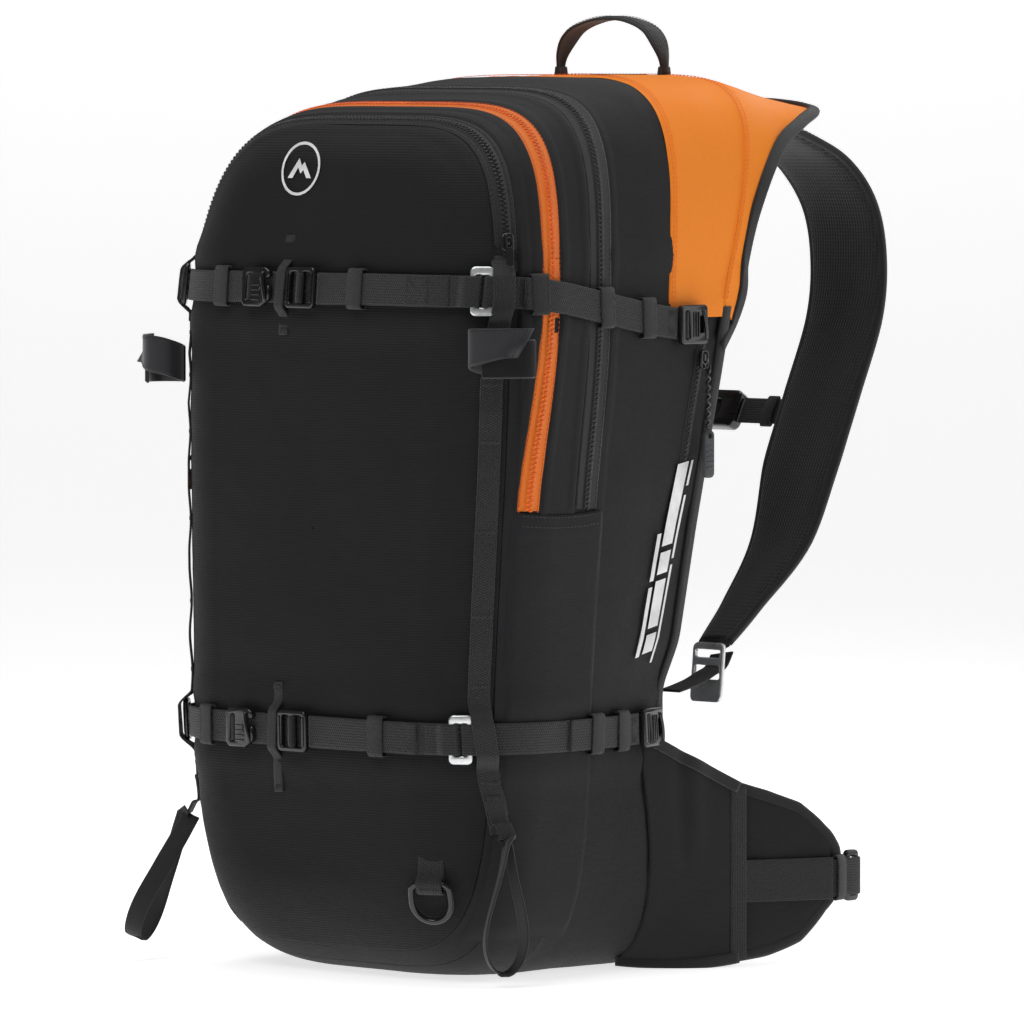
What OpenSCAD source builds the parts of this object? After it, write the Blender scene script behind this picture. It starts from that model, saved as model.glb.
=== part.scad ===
// Avalanche airbag backpack. Front panel towards -Y, harness towards +Y, base on z = 0.

/* [Body] */
// Height of the packed body
body_h = 566; // [556:2:576]
// Width of the body near its top
body_w = 304; // [296:2:310]
// Radius of the rounded edge of the front panel
corner_r = 60; // [56:1:62]
// Swell of the front panel
crown = 4; // [2:1:5]
// Thickness of the shell fabric with its lining
shell_t = 2.5; // [2:0.5:3]

/* [Webbing] */
// Width of the two compression straps
web_w = 20; // [18:1:21]
// Thickness of webbing
web_t = 1.6; // [1.4:0.1:1.8]
// Height of the upper compression strap
upper_z = 434; // [430:1:436]
// Height of the lower compression strap
lower_z = 155; // [150:1:160]
// Width of the daisy webbing down each front edge
daisy_w = 14; // [12:1:15]

/* [Harness] */
// Width of a shoulder strap pad
strap_w = 65; // [58:1:66]
// Thickness of a shoulder strap pad
pad_t = 10; // [8:1:10]
// Thickness of a hip wing
wing_t = 10; // [8:1:11]
// Height of the sternum strap
sternum_z = 352; // [348:1:356]

/* [Airbag system] */
// Diameter of the gas cartridge
cartridge_d = 50; // [44:1:52]
// Length of the gas cartridge's body
cartridge_h = 200; // [180:5:205]
// Diameter of the trigger cable's sleeve
cable_d = 5; // [4:0.5:5]

/* [Hidden] */

black = "#26262a";
webbing_black = "#1a1a1c";
orange = "#ff7a1a";
silver = "#c9ccd0";
gloss = "#101012";

// The outline is widest at this height
mid_z = body_h / 2;
// Depth cut off the outline to leave a flat base
flat_z = 4;
// Share of the edge radius taken off the top and off the base
top_k = 0.6;
base_k = 0.8;
// The higher, the squarer the outline
square_k = 4.6;
// Turn round the front edge at which the front panel's seam lies
seam_turn = 55;
seam_t = corner_r * (1 - cos(seam_turn));
// Depth of the orange and the rear zips behind the front plane
orange_t = 54;
rear_t = 97;
// Lowest point of the zips
zip_low_z = 297;
// Clearance under trim that lies on the shell
gap = 0.4;
// Offsets of the layers that lie on the shell
trim_out = gap + 1.4;
strap_in = trim_out + 0.6;
strap_out = strap_in + web_t;
hard_in = strap_out + 0.6;
// Length of the shell's curve round the front edge
bend = corner_r * PI / 2;

function clamp(v, lo, hi) = min(max(v, lo), hi);
function smooth(v) = let (s = clamp(v, 0, 1)) s * s * (3 - 2 * s);
function mix(a, b, s) = a + (b - a) * s;
function unit(v) = v / norm(v);
function reverse(list) = [for (i = [len(list) - 1:-1:0]) list[i]];
function steps(a, b, n) = [for (i = [0:n]) mix(a, b, i / n)];
function flip(p) = [-p.x, p.y, p.z];

// ---- the shell's shape ----
function top_z(t) = body_h - lookup(t, [[0, 22], [50, 18], [100, 7], [150, 0]]);
function base_z(t) = 22 * pow(clamp(1 - t / 100, 0, 1), 2) - flat_z;
function half_w(z) = body_w / 2 - 9 * (1 - smooth((z - 100) / 320));
function front_y(z) = -202 + 6 * smooth((z - 150) / 270) + 22 * pow(max(0, (z - 400) / 150), 2);
function back_y(z) = lookup(z, [[0, 2], [60, -4], [130, -14], [178, -7], [208, 1], [281, 5],
    [348, 12], [434, 32], [500, 54], [566, 82]]);
function tuck(z) = lookup(z, [[0, 0], [100, 12], [178, 28], [208, 22], [281, 14], [348, 8],
    [434, 8], [566, 0]]);
function back_t(z) = back_y(z) - front_y(z);
function turn_at(t) = t < corner_r ? acos(1 - t / corner_r) : 90;
function inset(t) = corner_r * (1 - sin(turn_at(t)));
function reach(t, upper) = upper ? top_z(t) - mid_z - top_k * inset(t) : mid_z - base_z(t) - base_k * inset(t);
function narrowing(t, z) = tuck(z) * pow(clamp((t - corner_r) / (back_t(z) - corner_r), 0, 1), 2);

// A unit point on the outline, a square with round corners
function lump(a, b) = pow(pow(abs(a), square_k) + pow(abs(b), square_k), 1 / square_k);
function rim(phi) = [cos(phi), sin(phi)] / lump(cos(phi), sin(phi));

// The skin at depth t behind the front plane and at angle phi round the outline
function skin(t, phi, out = 0) =
    let (e = rim(phi),
         n = turn_at(t),
         z = max(mid_z + (reach(t, e.y > 0) + out * sin(n)) * e.y, max(0, -out)))
    [(half_w(z) - inset(t) + out * sin(n) - narrowing(t, z)) * e.x, front_y(z) + t - out * cos(n), z];

// The front face inside the rounded edge, where q goes from 0 at its middle to 1
function face(q, phi, out = 0) =
    let (e = rim(phi), z = mid_z + q * reach(0, e.y > 0) * e.y)
    [q * (half_w(z) - corner_r) * e.x, front_y(z) - crown * (1 - q * q) - out, z];

// The skin at depth t and height z, on the right (side 1) or the left (side -1)
function at_height(t, z, side, out = 0) =
    let (n = turn_at(t),
         s = clamp((z - mid_z) / (reach(t, z > mid_z) + out * sin(n)), -0.999, 0.999),
         c = pow(1 - pow(abs(s), square_k), 1 / square_k))
    [side * (half_w(z) - inset(t) + out * sin(n) - narrowing(t, z)) * c, front_y(z) + t - out * cos(n), z];

function face_w(z) = at_height(0, z, 1).x;
function on_face(x, z, out = 0) =
    let (q = lump(x / (half_w(z) - corner_r), (z - mid_z) / reach(0, z > mid_z)))
    [x, front_y(z) - crown * (1 - pow(min(q, 1), 2)) - out, z];

// The skin at distance u round the body from its centre line, at height z
function wrap(u, z, out = 0) =
    let (v = abs(u) - face_w(z))
    v <= 0 ? on_face(u, z, out)
    : at_height(v < bend ? corner_r * (1 - cos(v / bend * 90)) : corner_r + v - bend, z, sign(u), out);
// Turn of the band about Z at u, and the inward slope of the skin there
function wrap_turn(u, z) = let (d = wrap(u + 5, z) - wrap(u - 5, z)) atan2(d.y, d.x);
function wrap_slope(u, z) =
    let (a = wrap_turn(u, z), d = wrap(u, z + 10) - wrap(u, z - 10)) atan2(d * [-sin(a), cos(a), 0], 20);

// ---- building blocks ----
function sum(v) = v * [for (i = v) 1];
function tetra(a, b, c) = cross(a, b) * c;
function volume(p, faces) = sum([for (f = faces, i = [1:len(f) - 2]) tetra(p[f[0]], p[f[i]], p[f[i + 1]])]);

// A solid through rings of points, closed on itself or capped at both ends
module sweep(rings, loop = false) {
    n = len(rings);
    m = len(rings[0]);
    points = [for (r = rings) each r];
    sides = [for (i = [0:n - (loop ? 1 : 2)], j = [0:m - 1])
        let (k = (i + 1) % n, l = (j + 1) % m)
        each [[i * m + j, i * m + l, k * m + l], [i * m + j, k * m + l, k * m + j]]];
    caps = loop ? [] : [[for (j = [m - 1:-1:0]) j], [for (j = [0:m - 1]) (n - 1) * m + j]];
    faces = concat(sides, caps);
    polyhedron(points, volume(points, faces) > 0 ? [for (f = faces) reverse(f)] : faces, convexity = 6);
}

// A panel of the shell between the depths depths(phi), for each angle in phis
module panel(depths, phis, out0, out1, loop = false) {
    sweep([for (phi = phis) concat([for (t = depths(phi)) skin(t, phi, out1)],
        [for (t = reverse(depths(phi))) skin(t, phi, out0)])], loop);
}

// A flat band round the body along the positions us, at height(u)
module band(us, height, w, out0, out1) {
    sweep([for (u = us) let (z = height(u))
        [wrap(u, z - w / 2, out0), wrap(u, z + w / 2, out0), wrap(u, z + w / 2, out1), wrap(u, z - w / 2, out1)]]);
}

// Places a part drawn with X along the band and -Y outwards
module on_band(u, z, out) {
    translate(wrap(u, z, out)) rotate([0, 0, wrap_turn(u, z)]) rotate([-wrap_slope(u, z), 0, 0]) children();
}

module rounded(w, h, r) {
    square([w - 2 * r, h], center = true);
    square([w, h - 2 * r], center = true);
    for (x = [-1, 1], y = [-1, 1])
        translate([x * (w / 2 - r), y * (h / 2 - r)]) circle(r = r, $fn = 24);
}

// A plate in the XZ plane, from y = 0 outwards to y = -t, with slots
module plate(w, h, t, r, slots = []) {
    rotate([90, 0, 0]) linear_extrude(t) difference() {
        rounded(w, h, r);
        for (s = slots)
            translate([s[0], s[1]]) rounded(s[2], s[3], min(s[2], s[3]) * 0.3);
    }
}

// Cross-section of a pad with soft edges: width, thickness
PAD = [[1, -0.5], [1, 0.5], [0.86, 1], [-0.86, 1], [-1, 0.5], [-1, -0.5], [-0.86, -1], [0.86, -1]];
function pad_ring(p, side, normal, half, thick) = [for (c = PAD) p + side * c.x * half + normal * c.y * thick / 2];

// A smooth curve through the points of a path, n steps to each stretch
function spline(p, n) = [for (i = [0:len(p) - 2], j = [0:n - 1])
    let (a = p[max(i - 1, 0)], b = p[i], c = p[i + 1], d = p[min(i + 2, len(p) - 1)], s = j / n)
    (2 * b + (c - a) * s + (2 * a - 5 * b + 4 * c - d) * s * s + (3 * b - a - 3 * c + d) * s * s * s) / 2,
    p[len(p) - 1]];
function tangent(p, i) = unit(p[min(i + 1, len(p) - 1)] - p[max(i - 1, 0)]);

// A round cord along a path
module cord(path, d, sides) {
    sweep([for (i = [0:len(path) - 1])
        let (t = tangent(path, i), a = unit(cross(t, [0.9, 0.1, 0.4])), b = cross(t, a))
        [for (k = [0:sides - 1]) path[i] + (a * cos(k * 360 / sides) + b * sin(k * 360 / sides)) * d / 2]]);
}

around_step = 7.5;
AROUND = [for (i = [0:47]) i * around_step];
// Seams between the shell's panels
seam_gap = 0.3;
function edge_z(phi) = skin(200, phi).z;
function edge_t(phi) = back_t(edge_z(phi));
// The orange and the rear zips lean forwards towards their feet
function lean(z) = -14 * smooth((440 - z) / 150);
function orange_at(z) = orange_t + lean(z);
function rear_at(z) = rear_t + 0.6 * lean(z);
function orange_edge(phi) = orange_at(skin(orange_t, phi).z);
function rear_edge(phi) = rear_at(skin(rear_t, phi).z);

// ---- shell ----
module front_panel() {
    turns = [15, 30, 43, seam_turn];
    qs = [0.1, 0.5, 0.8, 1];
    color(black) sweep(concat(
        [for (q = qs) [for (phi = AROUND) face(q, phi)]],
        [for (n = turns) [for (phi = AROUND) skin(corner_r * (1 - cos(n)), phi)]],
        [for (n = reverse(turns)) [for (phi = AROUND) skin(corner_r * (1 - cos(n)), phi, -shell_t)]],
        [for (q = reverse(qs)) [for (phi = AROUND) face(q, phi, -shell_t)]]));
}

module front_gusset() {
    color(black) panel(function(phi) steps(seam_t + seam_gap, orange_edge(phi), 3), AROUND, -shell_t, 0, true);
}

module middle_gusset() {
    color(black) panel(function(phi) steps(orange_edge(phi) + seam_gap, rear_edge(phi), 3), AROUND, -shell_t, 0, true);
}

module main_shell() {
    color(black) panel(function(phi) steps(rear_edge(phi) + seam_gap, edge_t(phi), 4), AROUND, -shell_t, 0, true);
}

// The back face: q runs from the middle to the rear edge of the shell, out is behind it
function back_face(q, phi, out) =
    let (e = skin(edge_t(phi), phi), z = mid_z + (e.z - mid_z) * q) [e.x * q, back_y(z) + out, z];

module back_panel() {
    foam = 12;
    hem = 2;
    front = [for (q = steps(0.1, 1, 6)) [q, 0.6]];
    back = [for (q = steps(0.86, 0.1, 5)) [q, foam]];
    color(black) sweep([for (r = concat(front, [[1, hem], [0.93, hem + 0.5], [0.9, foam - 3]], back))
        [for (phi = AROUND) back_face(r[0], phi, r[1])]]);
}

// A strip inside the back panel, bent to the same curve
module back_strip(x, half, z0, z1, depth, thick) {
    sweep([for (z = steps(z0, z1, 9)) let (y = back_y(z) - depth)
        [[x - half, y, z], [x + half, y, z], [x + half, y - thick, z], [x - half, y - thick, z]]]);
}

module frame_sheet() {
    color("#3c3f44") back_strip(0, 92, 70, 500, 4, 1.5);
}

module frame_stays() {
    for (x = [-55, 55])
        color(silver) back_strip(x, 7, 80, 490, 6, 3);
}

side_ts = [44, 52, corner_r, 78, 100];
module side_panels() {
    for (side = [-1, 1])
        color(black) sweep([for (z = concat(steps(24, 96, 9), steps(110, zip_low_z - 4, 7)))
            concat([for (t = side_ts) at_height(t, z, side, gap + 1)],
                [for (t = reverse(side_ts)) at_height(t, z, side, gap)])]);
}

// ---- airbag cover ----
// The cover starts at this depth, further back over the top
function cover_t(phi) = 163 + 38 * pow(max(0, sin(phi)), 16);
cover_phis = steps(25, 155, 32);
cover_hem = 9;
// Outer border of the right-hand wing that joins the cover to the shoulder strap
cover_rim = [[36, 150, 551], [74, 152, 550], [106, 148, 546], [120, 122, 538], [130, 93, 526], [138, 70, 505],
    [141, 54, 478], [142, 45, 452], [142, 42, 430], [141, 34, 409]];
// Angles of the shell's rear edge that the same points join
cover_roots = [83, 70, 58, 50, 46, 41, 37, 34, 29, 25];

module cover_wing(mirrored) {
    thick = 2.5;
    rows = [for (i = [0:len(cover_rim) - 1])
        let (a = skin(edge_t(cover_roots[i]), cover_roots[i], 0.3) + [0, 4.5, 0],
             b = cover_rim[i])
        [for (s = [0, 0.35, 0.7, 1]) mix(a, b, s) + [0, 0, -6 * s * (1 - s)]]];
    inward = [for (i = [0:len(rows) - 1]) unit([-smooth((i - 1) / 4), 0, -1 + smooth((i - 1) / 4)]) * thick];
    sweep([for (i = [0:len(rows) - 1])
        let (row = [for (p = rows[i]) mirrored ? flip(p) : p],
             in = mirrored ? flip(inward[i]) : inward[i])
        concat(row, [for (p = reverse(row)) p + in])]);
}

module airbag_cover() {
    color(orange) {
        panel(function(phi) steps(cover_t(phi), edge_t(phi) - cover_hem, 3), cover_phis, gap, gap + 1.6);
        cover_wing(false);
        cover_wing(true);
    }
}

module edge_binding() {
    color(webbing_black) panel(function(phi) [edge_t(phi) - cover_hem + 1, edge_t(phi) - 3, edge_t(phi) + 1.5],
        [for (i = [-7:31]) i * around_step], gap + 0.2, gap + 1.8);
}

// ---- zips ----
// A zip tape over the top of the shell at depth t, down to height low_z on both sides
module zip_tape(t0, t1, low_z, leaning = 0) {
    start = 43;
    tm = (t0 + t1) / 2;
    section = [[t0, gap], [tm, gap], [t1, gap], [t1, trim_out], [tm, trim_out], [t0, trim_out]];
    foot = [for (z = steps(low_z, skin(t0, start).z - 5, 9))
        [for (c = section) at_height(c[0] + leaning * lean(z), z, 1, c[1])]];
    arch = [for (phi = steps(start, 180 - start, 34)) [for (c = section) skin(c[0], phi, c[1])]];
    other = [for (r = reverse(foot)) [for (p = r) flip(p)]];
    sweep(concat(foot, arch, other));
}

module zip_front() {
    color(webbing_black) zip_tape(corner_r * (1 - cos(seam_turn - 7)), corner_r * (1 - cos(seam_turn + 7)), 446);
}

module zip_orange() {
    color(orange) zip_tape(orange_t - 8, orange_t + 8, zip_low_z, 1);
}

module zip_rear() {
    color(webbing_black) zip_tape(rear_t - 11, rear_t + 11, zip_low_z, 0.6);
}

side_zip_t = 22;
module zip_side() {
    color(webbing_black) sweep([for (z = steps(296, 402, 8))
        [for (c = [[6, gap], [-3, gap], [-3, trim_out], [6, trim_out]])
            at_height(back_t(z) - side_zip_t - c[0], z, 1, c[1])]]);
}

// A zip slider in the XZ plane, drawn like a plate
module slider() {
    plate(8, 12, 3.2, 2);
    translate([0, -3.1, 2]) plate(3, 5, 2, 1);
    translate([0, -5, -6]) plate(5, 22, 1.6, 2, [[0, 5, 2.4, 6]]);
}

module slider_front() {
    z = 464;
    t = seam_t;
    color(silver) translate(at_height(t, z, 1, trim_out + 2)) rotate([0, 0, seam_turn]) slider();
}

module slider_orange() {
    z = 318;
    color(silver) translate(at_height(orange_at(z), z, -1, trim_out + 1.8)) rotate([0, 0, -80]) slider();
}

module slider_rear() {
    z = 318;
    color(silver) translate(at_height(rear_at(z), z, -1, trim_out + 1.2)) rotate([0, 0, -90]) slider();
}

side_slider_z = 388;
side_slider = at_height(back_t(side_slider_z) - side_zip_t - 1.5, side_slider_z, 1, trim_out + 1.2);

module slider_side() {
    color(silver) translate(side_slider) rotate([0, 0, 88]) {
        plate(8, 12, 3.2, 2);
        translate([0, -2.8, -4]) plate(4, 5, 2.2, 1);
    }
}

module pull_side() {
    color("#55585c") translate(side_slider) rotate([0, 0, 88]) {
        translate([0, -5.4, -28]) plate(3, 44, 1.8, 1);
        translate([0, -4.6, -62]) plate(9, 26, 3.6, 3);
    }
}

// ---- compression straps ----
function upper_strap_z(u) = upper_z - 24 * smooth((abs(u) - 130) / 190);
function lower_strap_z(u) = lower_z;
strap_us = concat(steps(-312, -190, 7), steps(-178, -88, 12), steps(-60, 60, 4), steps(88, 178, 12), steps(190, 312, 7));
lower_us = concat(steps(-292, -190, 6), steps(-178, -84, 12), steps(-60, 60, 4), steps(84, 178, 12), steps(190, 292, 6));

module compression_strap_upper() {
    color(webbing_black) band(strap_us, function(u) upper_strap_z(u), web_w, strap_in, strap_out);
}

module compression_strap_lower() {
    color(webbing_black) band(lower_us, function(u) lower_strap_z(u), web_w, strap_in, strap_out);
}

// An open hook that catches the webbing loop beside it
module hook_buckle() {
    color(gloss) {
        plate(25, 25, 4, 3, [[-6, 0, 4, 17], [7, 3, 8, 5]]);
        translate([9, -3.9, 0]) plate(6, 18, 1.6, 1);
    }
}

hook_x = -49;
module hook_buckle_upper() {
    on_band(hook_x, upper_z, hard_in) hook_buckle();
}

module hook_buckle_lower() {
    on_band(hook_x - 8, lower_z, hard_in) hook_buckle();
}

frame_x = -9;
module buckle_frames() {
    for (z = [upper_z, lower_z])
        color(gloss) on_band(frame_x, z, hard_in) plate(25, 26, 4, 3, [[-5.5, 0, 7, 20], [5.5, 0, 7, 20]]);
}

slide_us = [[131, upper_z], [121, lower_z]];
module corner_slides() {
    for (s = slide_us)
        color(silver) on_band(s[0], s[1], hard_in) plate(15, 31, 3, 3, [[0, 0, 9, 20]]);
}

module corner_rings() {
    for (z = [upper_z, lower_z])
        color(gloss) on_band(-140, z, hard_in) plate(14, 27, 3, 3, [[0, 0, 8, 20]]);
}

module side_buckles() {
    for (side = [-1, 1], s = [[304, upper_strap_z(304)], [284, lower_z]])
        color(gloss) on_band(side * s[0], s[1], hard_in) plate(26, 25, 4.5, 2.5, [[-7, 0, 4, 18], [7, 0, 5, 10]]);
}

// Elastic keepers lie over the straps; two upright loops stand beside the hooks
module strap_keepers() {
    for (u = [-84, 38, 166, 222, 262])
        color(webbing_black) band(steps(u - 6, u + 6, 2), function(v) upper_strap_z(v), web_w + 5, hard_in, hard_in + 1);
    for (u = [-92, 62, 222, 250])
        color(webbing_black) band(steps(u - 6, u + 6, 2), function(v) lower_strap_z(v), web_w + 5, hard_in, hard_in + 1);
    for (z = [upper_z, lower_z])
        color(webbing_black) translate(on_face(-28, z, hard_in + 0.4)) plate(8, 60, 1.2, 1);
}

// ---- edge webbing, loops and straps for an ice axe ----
function daisy_turn(z) = lookup(z, [[94, 64.7], [130, 54], [180, 46], [376, 45], [430, 52]]);
function daisy_point(z, across, out) =
    at_height(corner_r * (1 - cos(daisy_turn(z) + across / corner_r * 180 / PI)), z, 1, out);

module daisy_webbing() {
    for (side = [-1, 1])
        color(webbing_black) sweep([for (z = steps(96, 376, 16))
            [for (c = [[-1, gap], [1, gap], [1, trim_out], [-1, trim_out]])
                let (p = daisy_point(z, c[0] * daisy_w / 2, c[1])) side > 0 ? p : flip(p)]]);
}

// A webbing loop hanging from its two ends, in the plane of X and Z
module hanging_loop(w, h, web, thick) {
    outer = [for (a = steps(-90, 270, 28)) let (g = (1 + sin(a)) / 2)
        [w / 2 * cos(a) * (1 - 0.75 * smooth(g * 1.1)), h * (g - 1)]];
    inner = [for (a = steps(-90, 270, 28)) let (g = (1 + sin(a)) / 2)
        [(w / 2 - thick) * cos(a) * (1 - 0.78 * smooth(g * 1.1)), (h - 2 * thick) * (g - 1) - thick]];
    n = len(outer) - 1;
    sweep([for (i = [0:n - 1])
        [[outer[i].x, -web / 2, outer[i].y], [outer[i].x, web / 2, outer[i].y],
         [inner[i].x, web / 2, inner[i].y], [inner[i].x, -web / 2, inner[i].y]]], true);
}

axe_top_z = 94;
axe_out = 12;
module axe_loop_right() {
    color(webbing_black) translate(daisy_point(axe_top_z, 0, axe_out)) rotate([6, 0, 62]) hanging_loop(36, 88, 12, 2.4);
}

module axe_loop_left() {
    color(webbing_black) translate(flip(daisy_point(axe_top_z, 0, axe_out))) rotate([-19.5, -16, -62])
        hanging_loop(36, 88, 12, 2.4);
}

shaft_z = 392;
module shaft_loop() {
    linear_extrude(24, center = true) difference() {
        soft_oval(22, 14);
        soft_oval(19.6, 11.6);
    }
}

module soft_oval(a, b) {
    polygon([for (k = [0:31]) let (c = soft_rim(k * 360 / 32)) [a * c.x, b * c.y]]);
}

// A unit point on an oval that is a little squarer than a circle
function soft_rim(phi) =
    let (k = pow(pow(abs(cos(phi)), 2.6) + pow(abs(sin(phi)), 2.6), 1 / 2.6)) [cos(phi) / k, sin(phi) / k];

module shaft_strap_right() {
    color(webbing_black) translate(at_height(corner_r * (1 - cos(50)), shaft_z, 1, trim_out + 15.4))
        rotate([0, 0, 50]) shaft_loop();
}

module shaft_strap_left() {
    color(webbing_black) translate(at_height(corner_r * (1 - cos(50)), shaft_z - 8, -1, trim_out + 15.4))
        rotate([0, 0, -50]) shaft_loop();
}

// ---- D-ring ----
// The ring lies on the rounded edge of the base; ring_n points out of the skin there
ring_t = 12;
ring_phi = -49;
ring_n = unit(cross(skin(ring_t + 1, ring_phi) - skin(ring_t - 1, ring_phi),
    skin(ring_t, ring_phi + 1) - skin(ring_t, ring_phi - 1)));
ring_x = unit(cross([0, 0, 1], ring_n));
ring_z = cross(ring_n, ring_x);

// Places a part drawn with -Y outwards at height z over the ring's middle
module on_ring(z, out) {
    p = skin(ring_t, ring_phi) + ring_z * z + ring_n * out;
    multmatrix([for (k = [0:2]) [ring_x[k], -ring_n[k], ring_z[k], p[k]]]) children();
}

module d_ring() {
    color(gloss) on_ring(0, trim_out + 3) rotate([90, 0, 0]) linear_extrude(4, center = true) difference() {
        union() {
            circle(d = 30, $fn = 48);
            translate([0, 6]) square([30, 12], center = true);
        }
        circle(d = 21, $fn = 48);
        translate([0, 4]) square([21, 8], center = true);
    }
}

module d_ring_tab() {
    color(webbing_black) on_ring(20, 0.6) plate(17, 12, 1.4, 1);
}

// ---- haul loop ----
loop_y = 72;
loop_z = 571;
module haul_loop() {
    arch = [[-46, 0, 0], [-44, 0, 12], [-34, 1, 25], [-18, 2, 31], [0, 2, 33], [18, 2, 31], [34, 1, 25], [44, 0, 12],
        [46, 0, 0]];
    path = spline(arch, 3);
    color(webbing_black) translate([0, loop_y, loop_z]) sweep([for (i = [0:len(path) - 1])
        let (t = tangent(path, i), n = unit(cross(t, [0, 1, 0])))
        pad_ring(path[i], [0, 1, 0], n, mix(2.5, 8, smooth(path[i].z / 20)), 4)]);
}

// ---- airbag system ----
module airbag_bundle() {
    color("#d9541e") sweep([for (a = steps(-28, 208, 26))
        let (c = soft_rim(a), x = 104 * c.x, z = 448 + 76 * max(c.y, -0.35) * (c.y > 0 ? 1 : 1.2), d = [cos(a), 0, sin(a)])
        [for (k = [0:9]) [x, -46, z] + d * 18 * cos(k * 36) + [0, 24 * sin(k * 36), 0]]]);
}

inflator = [-50, -40, 458];
plunger_d = 8;
module inflator_body() {
    color("#3a3d42") difference() {
        translate(inflator) {
            translate([-24, -20, -24]) cube([48, 40, 36]);
            translate([0, 0, -30]) cylinder(d = 26, h = 7, $fn = 48);
        }
        translate([inflator.x, inflator.y + 21, inflator.z]) rotate([90, 0, 0])
            cylinder(d = plunger_d + 0.6, h = 34, $fn = 48);
    }
}

module valve_plunger() {
    color("#c8a24a") translate([inflator.x, inflator.y - 10, inflator.z]) rotate([-90, 0, 0])
        cylinder(d = plunger_d, h = 34, $fn = 48);
}

module gas_cartridge() {
    r = cartridge_d / 2;
    top = inflator.z - 31;
    color("#b9bcc0") translate([inflator.x, inflator.y, top]) rotate_extrude($fn = 60)
        polygon(concat([[0, 0], [9, 0], [9, -14]],
            [for (a = steps(70, 0, 6)) [9 + (r - 9) * cos(a), -34 + 20 * sin(a) + 1]],
            [for (a = steps(0, -90, 6)) [r - 14 + 14 * cos(a), -cartridge_h + 14 * sin(a)]],
            [[0, -cartridge_h - 14]]));
}

// Centre line of the right shoulder strap
strap_path = [[74, 92, 536], [74, 120, 534], [74, 149, 527], [79, 178, 511], [86, 196, 484], [90, 201, 450],
    [93, 194, 410], [96, 169, 360], [98, 148, 318], [103, 122, 266], [107, 82, 228], [111, 51, 204]];
strap_half = [[0, 1], [8, 1], [9, 0.78], [10, 0.52], [11, 0.4]];

// Route of the trigger cable from the handle's pocket over the left shoulder into the body
cable_route = [[-110, 149, 300], [-114, 162, 326], [-116, 179, 360], [-116, 204, 410], [-114, 212, 450],
    [-109, 206, 488], [-100, 185, 519], [-92, 152, 536], [-88, 120, 543], [-86, 95, 545], [-84, 64, 541],
    [-80, 34, 526], [-72, 14, 502], [-60, 8, 480], [-52, 4, 466], [-50, -2, 459]];

module trigger_cable() {
    color("#2e3034") cord(spline(cable_route, 3), cable_d, 8);
}

// The straps run straight past the chest along this direction
chest_dir = unit([0, -25, -50]);
chest_out = [0, -chest_dir.z, chest_dir.y];
function chest_point(x, z, out) = let (s = (360 - z) / 50) [x, 169 - 25 * s, z] + chest_out * (pad_t / 2 + out);
handle_z = 276;

module on_chest(x, z, out) {
    translate(chest_point(x, z, out)) rotate([-90 - atan2(25, 50), 0, 0]) children();
}

module trigger_pocket() {
    color(webbing_black) on_chest(-98, handle_z, 2) linear_extrude(4) rounded(34, 46, 5);
}

module trigger_handle() {
    color("#e0262c") on_chest(-98, handle_z, 6.6) {
        linear_extrude(9) rounded(26, 11, 5);
        linear_extrude(5) rounded(12, 30, 4);
    }
}

// ---- shoulder straps ----
module shoulder_strap(mirrored) {
    path = spline(strap_path, 3);
    count = len(strap_path) - 1;
    color(webbing_black) sweep([for (i = [0:len(path) - 1])
        let (p = mirrored ? flip(path[i]) : path[i],
             t0 = tangent(path, i),
             t = mirrored ? flip(t0) : t0,
             side = unit([1, 0, 0] - t * t.x),
             half = strap_w / 2 * lookup(i / (len(path) - 1) * count, strap_half))
        pad_ring(p, side, cross(t, side), half, pad_t)]);
}

module shoulder_strap_right() {
    shoulder_strap(false);
}

module shoulder_strap_left() {
    shoulder_strap(true);
}

// Webbing from the strap's end through the adjuster to the foot of the back panel
lower_web = [[115.5, 46.5, 189], [116.5, 36.5, 185.5], [117.5, 25, 181.5], [118, 13, 178.5], [118, 1, 176]];
adjuster_at = [116, 40, 186];

module strap_webbing(mirrored) {
    color(webbing_black) sweep([for (i = [0:len(lower_web) - 1])
        let (t = tangent(lower_web, i), side = unit([1, 0, 0] - t * t.x),
             ring = pad_ring(lower_web[i], side, cross(t, side), 9, web_t))
        mirrored ? [for (p = ring) flip(p)] : ring]);
}

module strap_webbing_right() {
    strap_webbing(false);
}

module strap_webbing_left() {
    strap_webbing(true);
}

module strap_adjuster() {
    difference() {
        plate(27, 38, 3, 3);
        translate([0, 1, 0]) plate(21, 9, 5, 1);
    }
}

module strap_adjuster_right() {
    color(silver) translate(adjuster_at) strap_adjuster();
}

module strap_adjuster_left() {
    color(silver) translate(flip(adjuster_at)) strap_adjuster();
}

// ---- sternum strap ----
sternum_out = 4;
module chest_plate(x, w, h, out, thick) {
    on_chest(x, sternum_z, out) linear_extrude(thick) rounded(w, h, 2);
}

// Each half ends on a clip that runs along the strap's edge cord
module sternum_webbing_right() {
    color(webbing_black) {
        chest_plate(51.5, 61, 18, sternum_out, 1.6);
        chest_plate(74, 15, 26, 0.6, 3);
    }
}

module sternum_webbing_left() {
    color(webbing_black) chest_plate(-57, 50, 18, sternum_out, 1.6);
}

module sternum_socket() {
    color(gloss) difference() {
        chest_plate(3, 34, 26, sternum_out - 3.4, 9);
        chest_plate(-6, 30, 18, sternum_out - 1.2, 4.6);
        chest_plate(16, 20, 20, sternum_out - 0.6, 2.8);
    }
}

module sternum_plug() {
    color(gloss) {
        chest_plate(-8, 24, 15, sternum_out - 0.9, 4);
        difference() {
            chest_plate(-27, 18, 25, sternum_out - 3, 8);
            chest_plate(-34, 10, 20, sternum_out - 0.6, 2.8);
        }
    }
}

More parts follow.
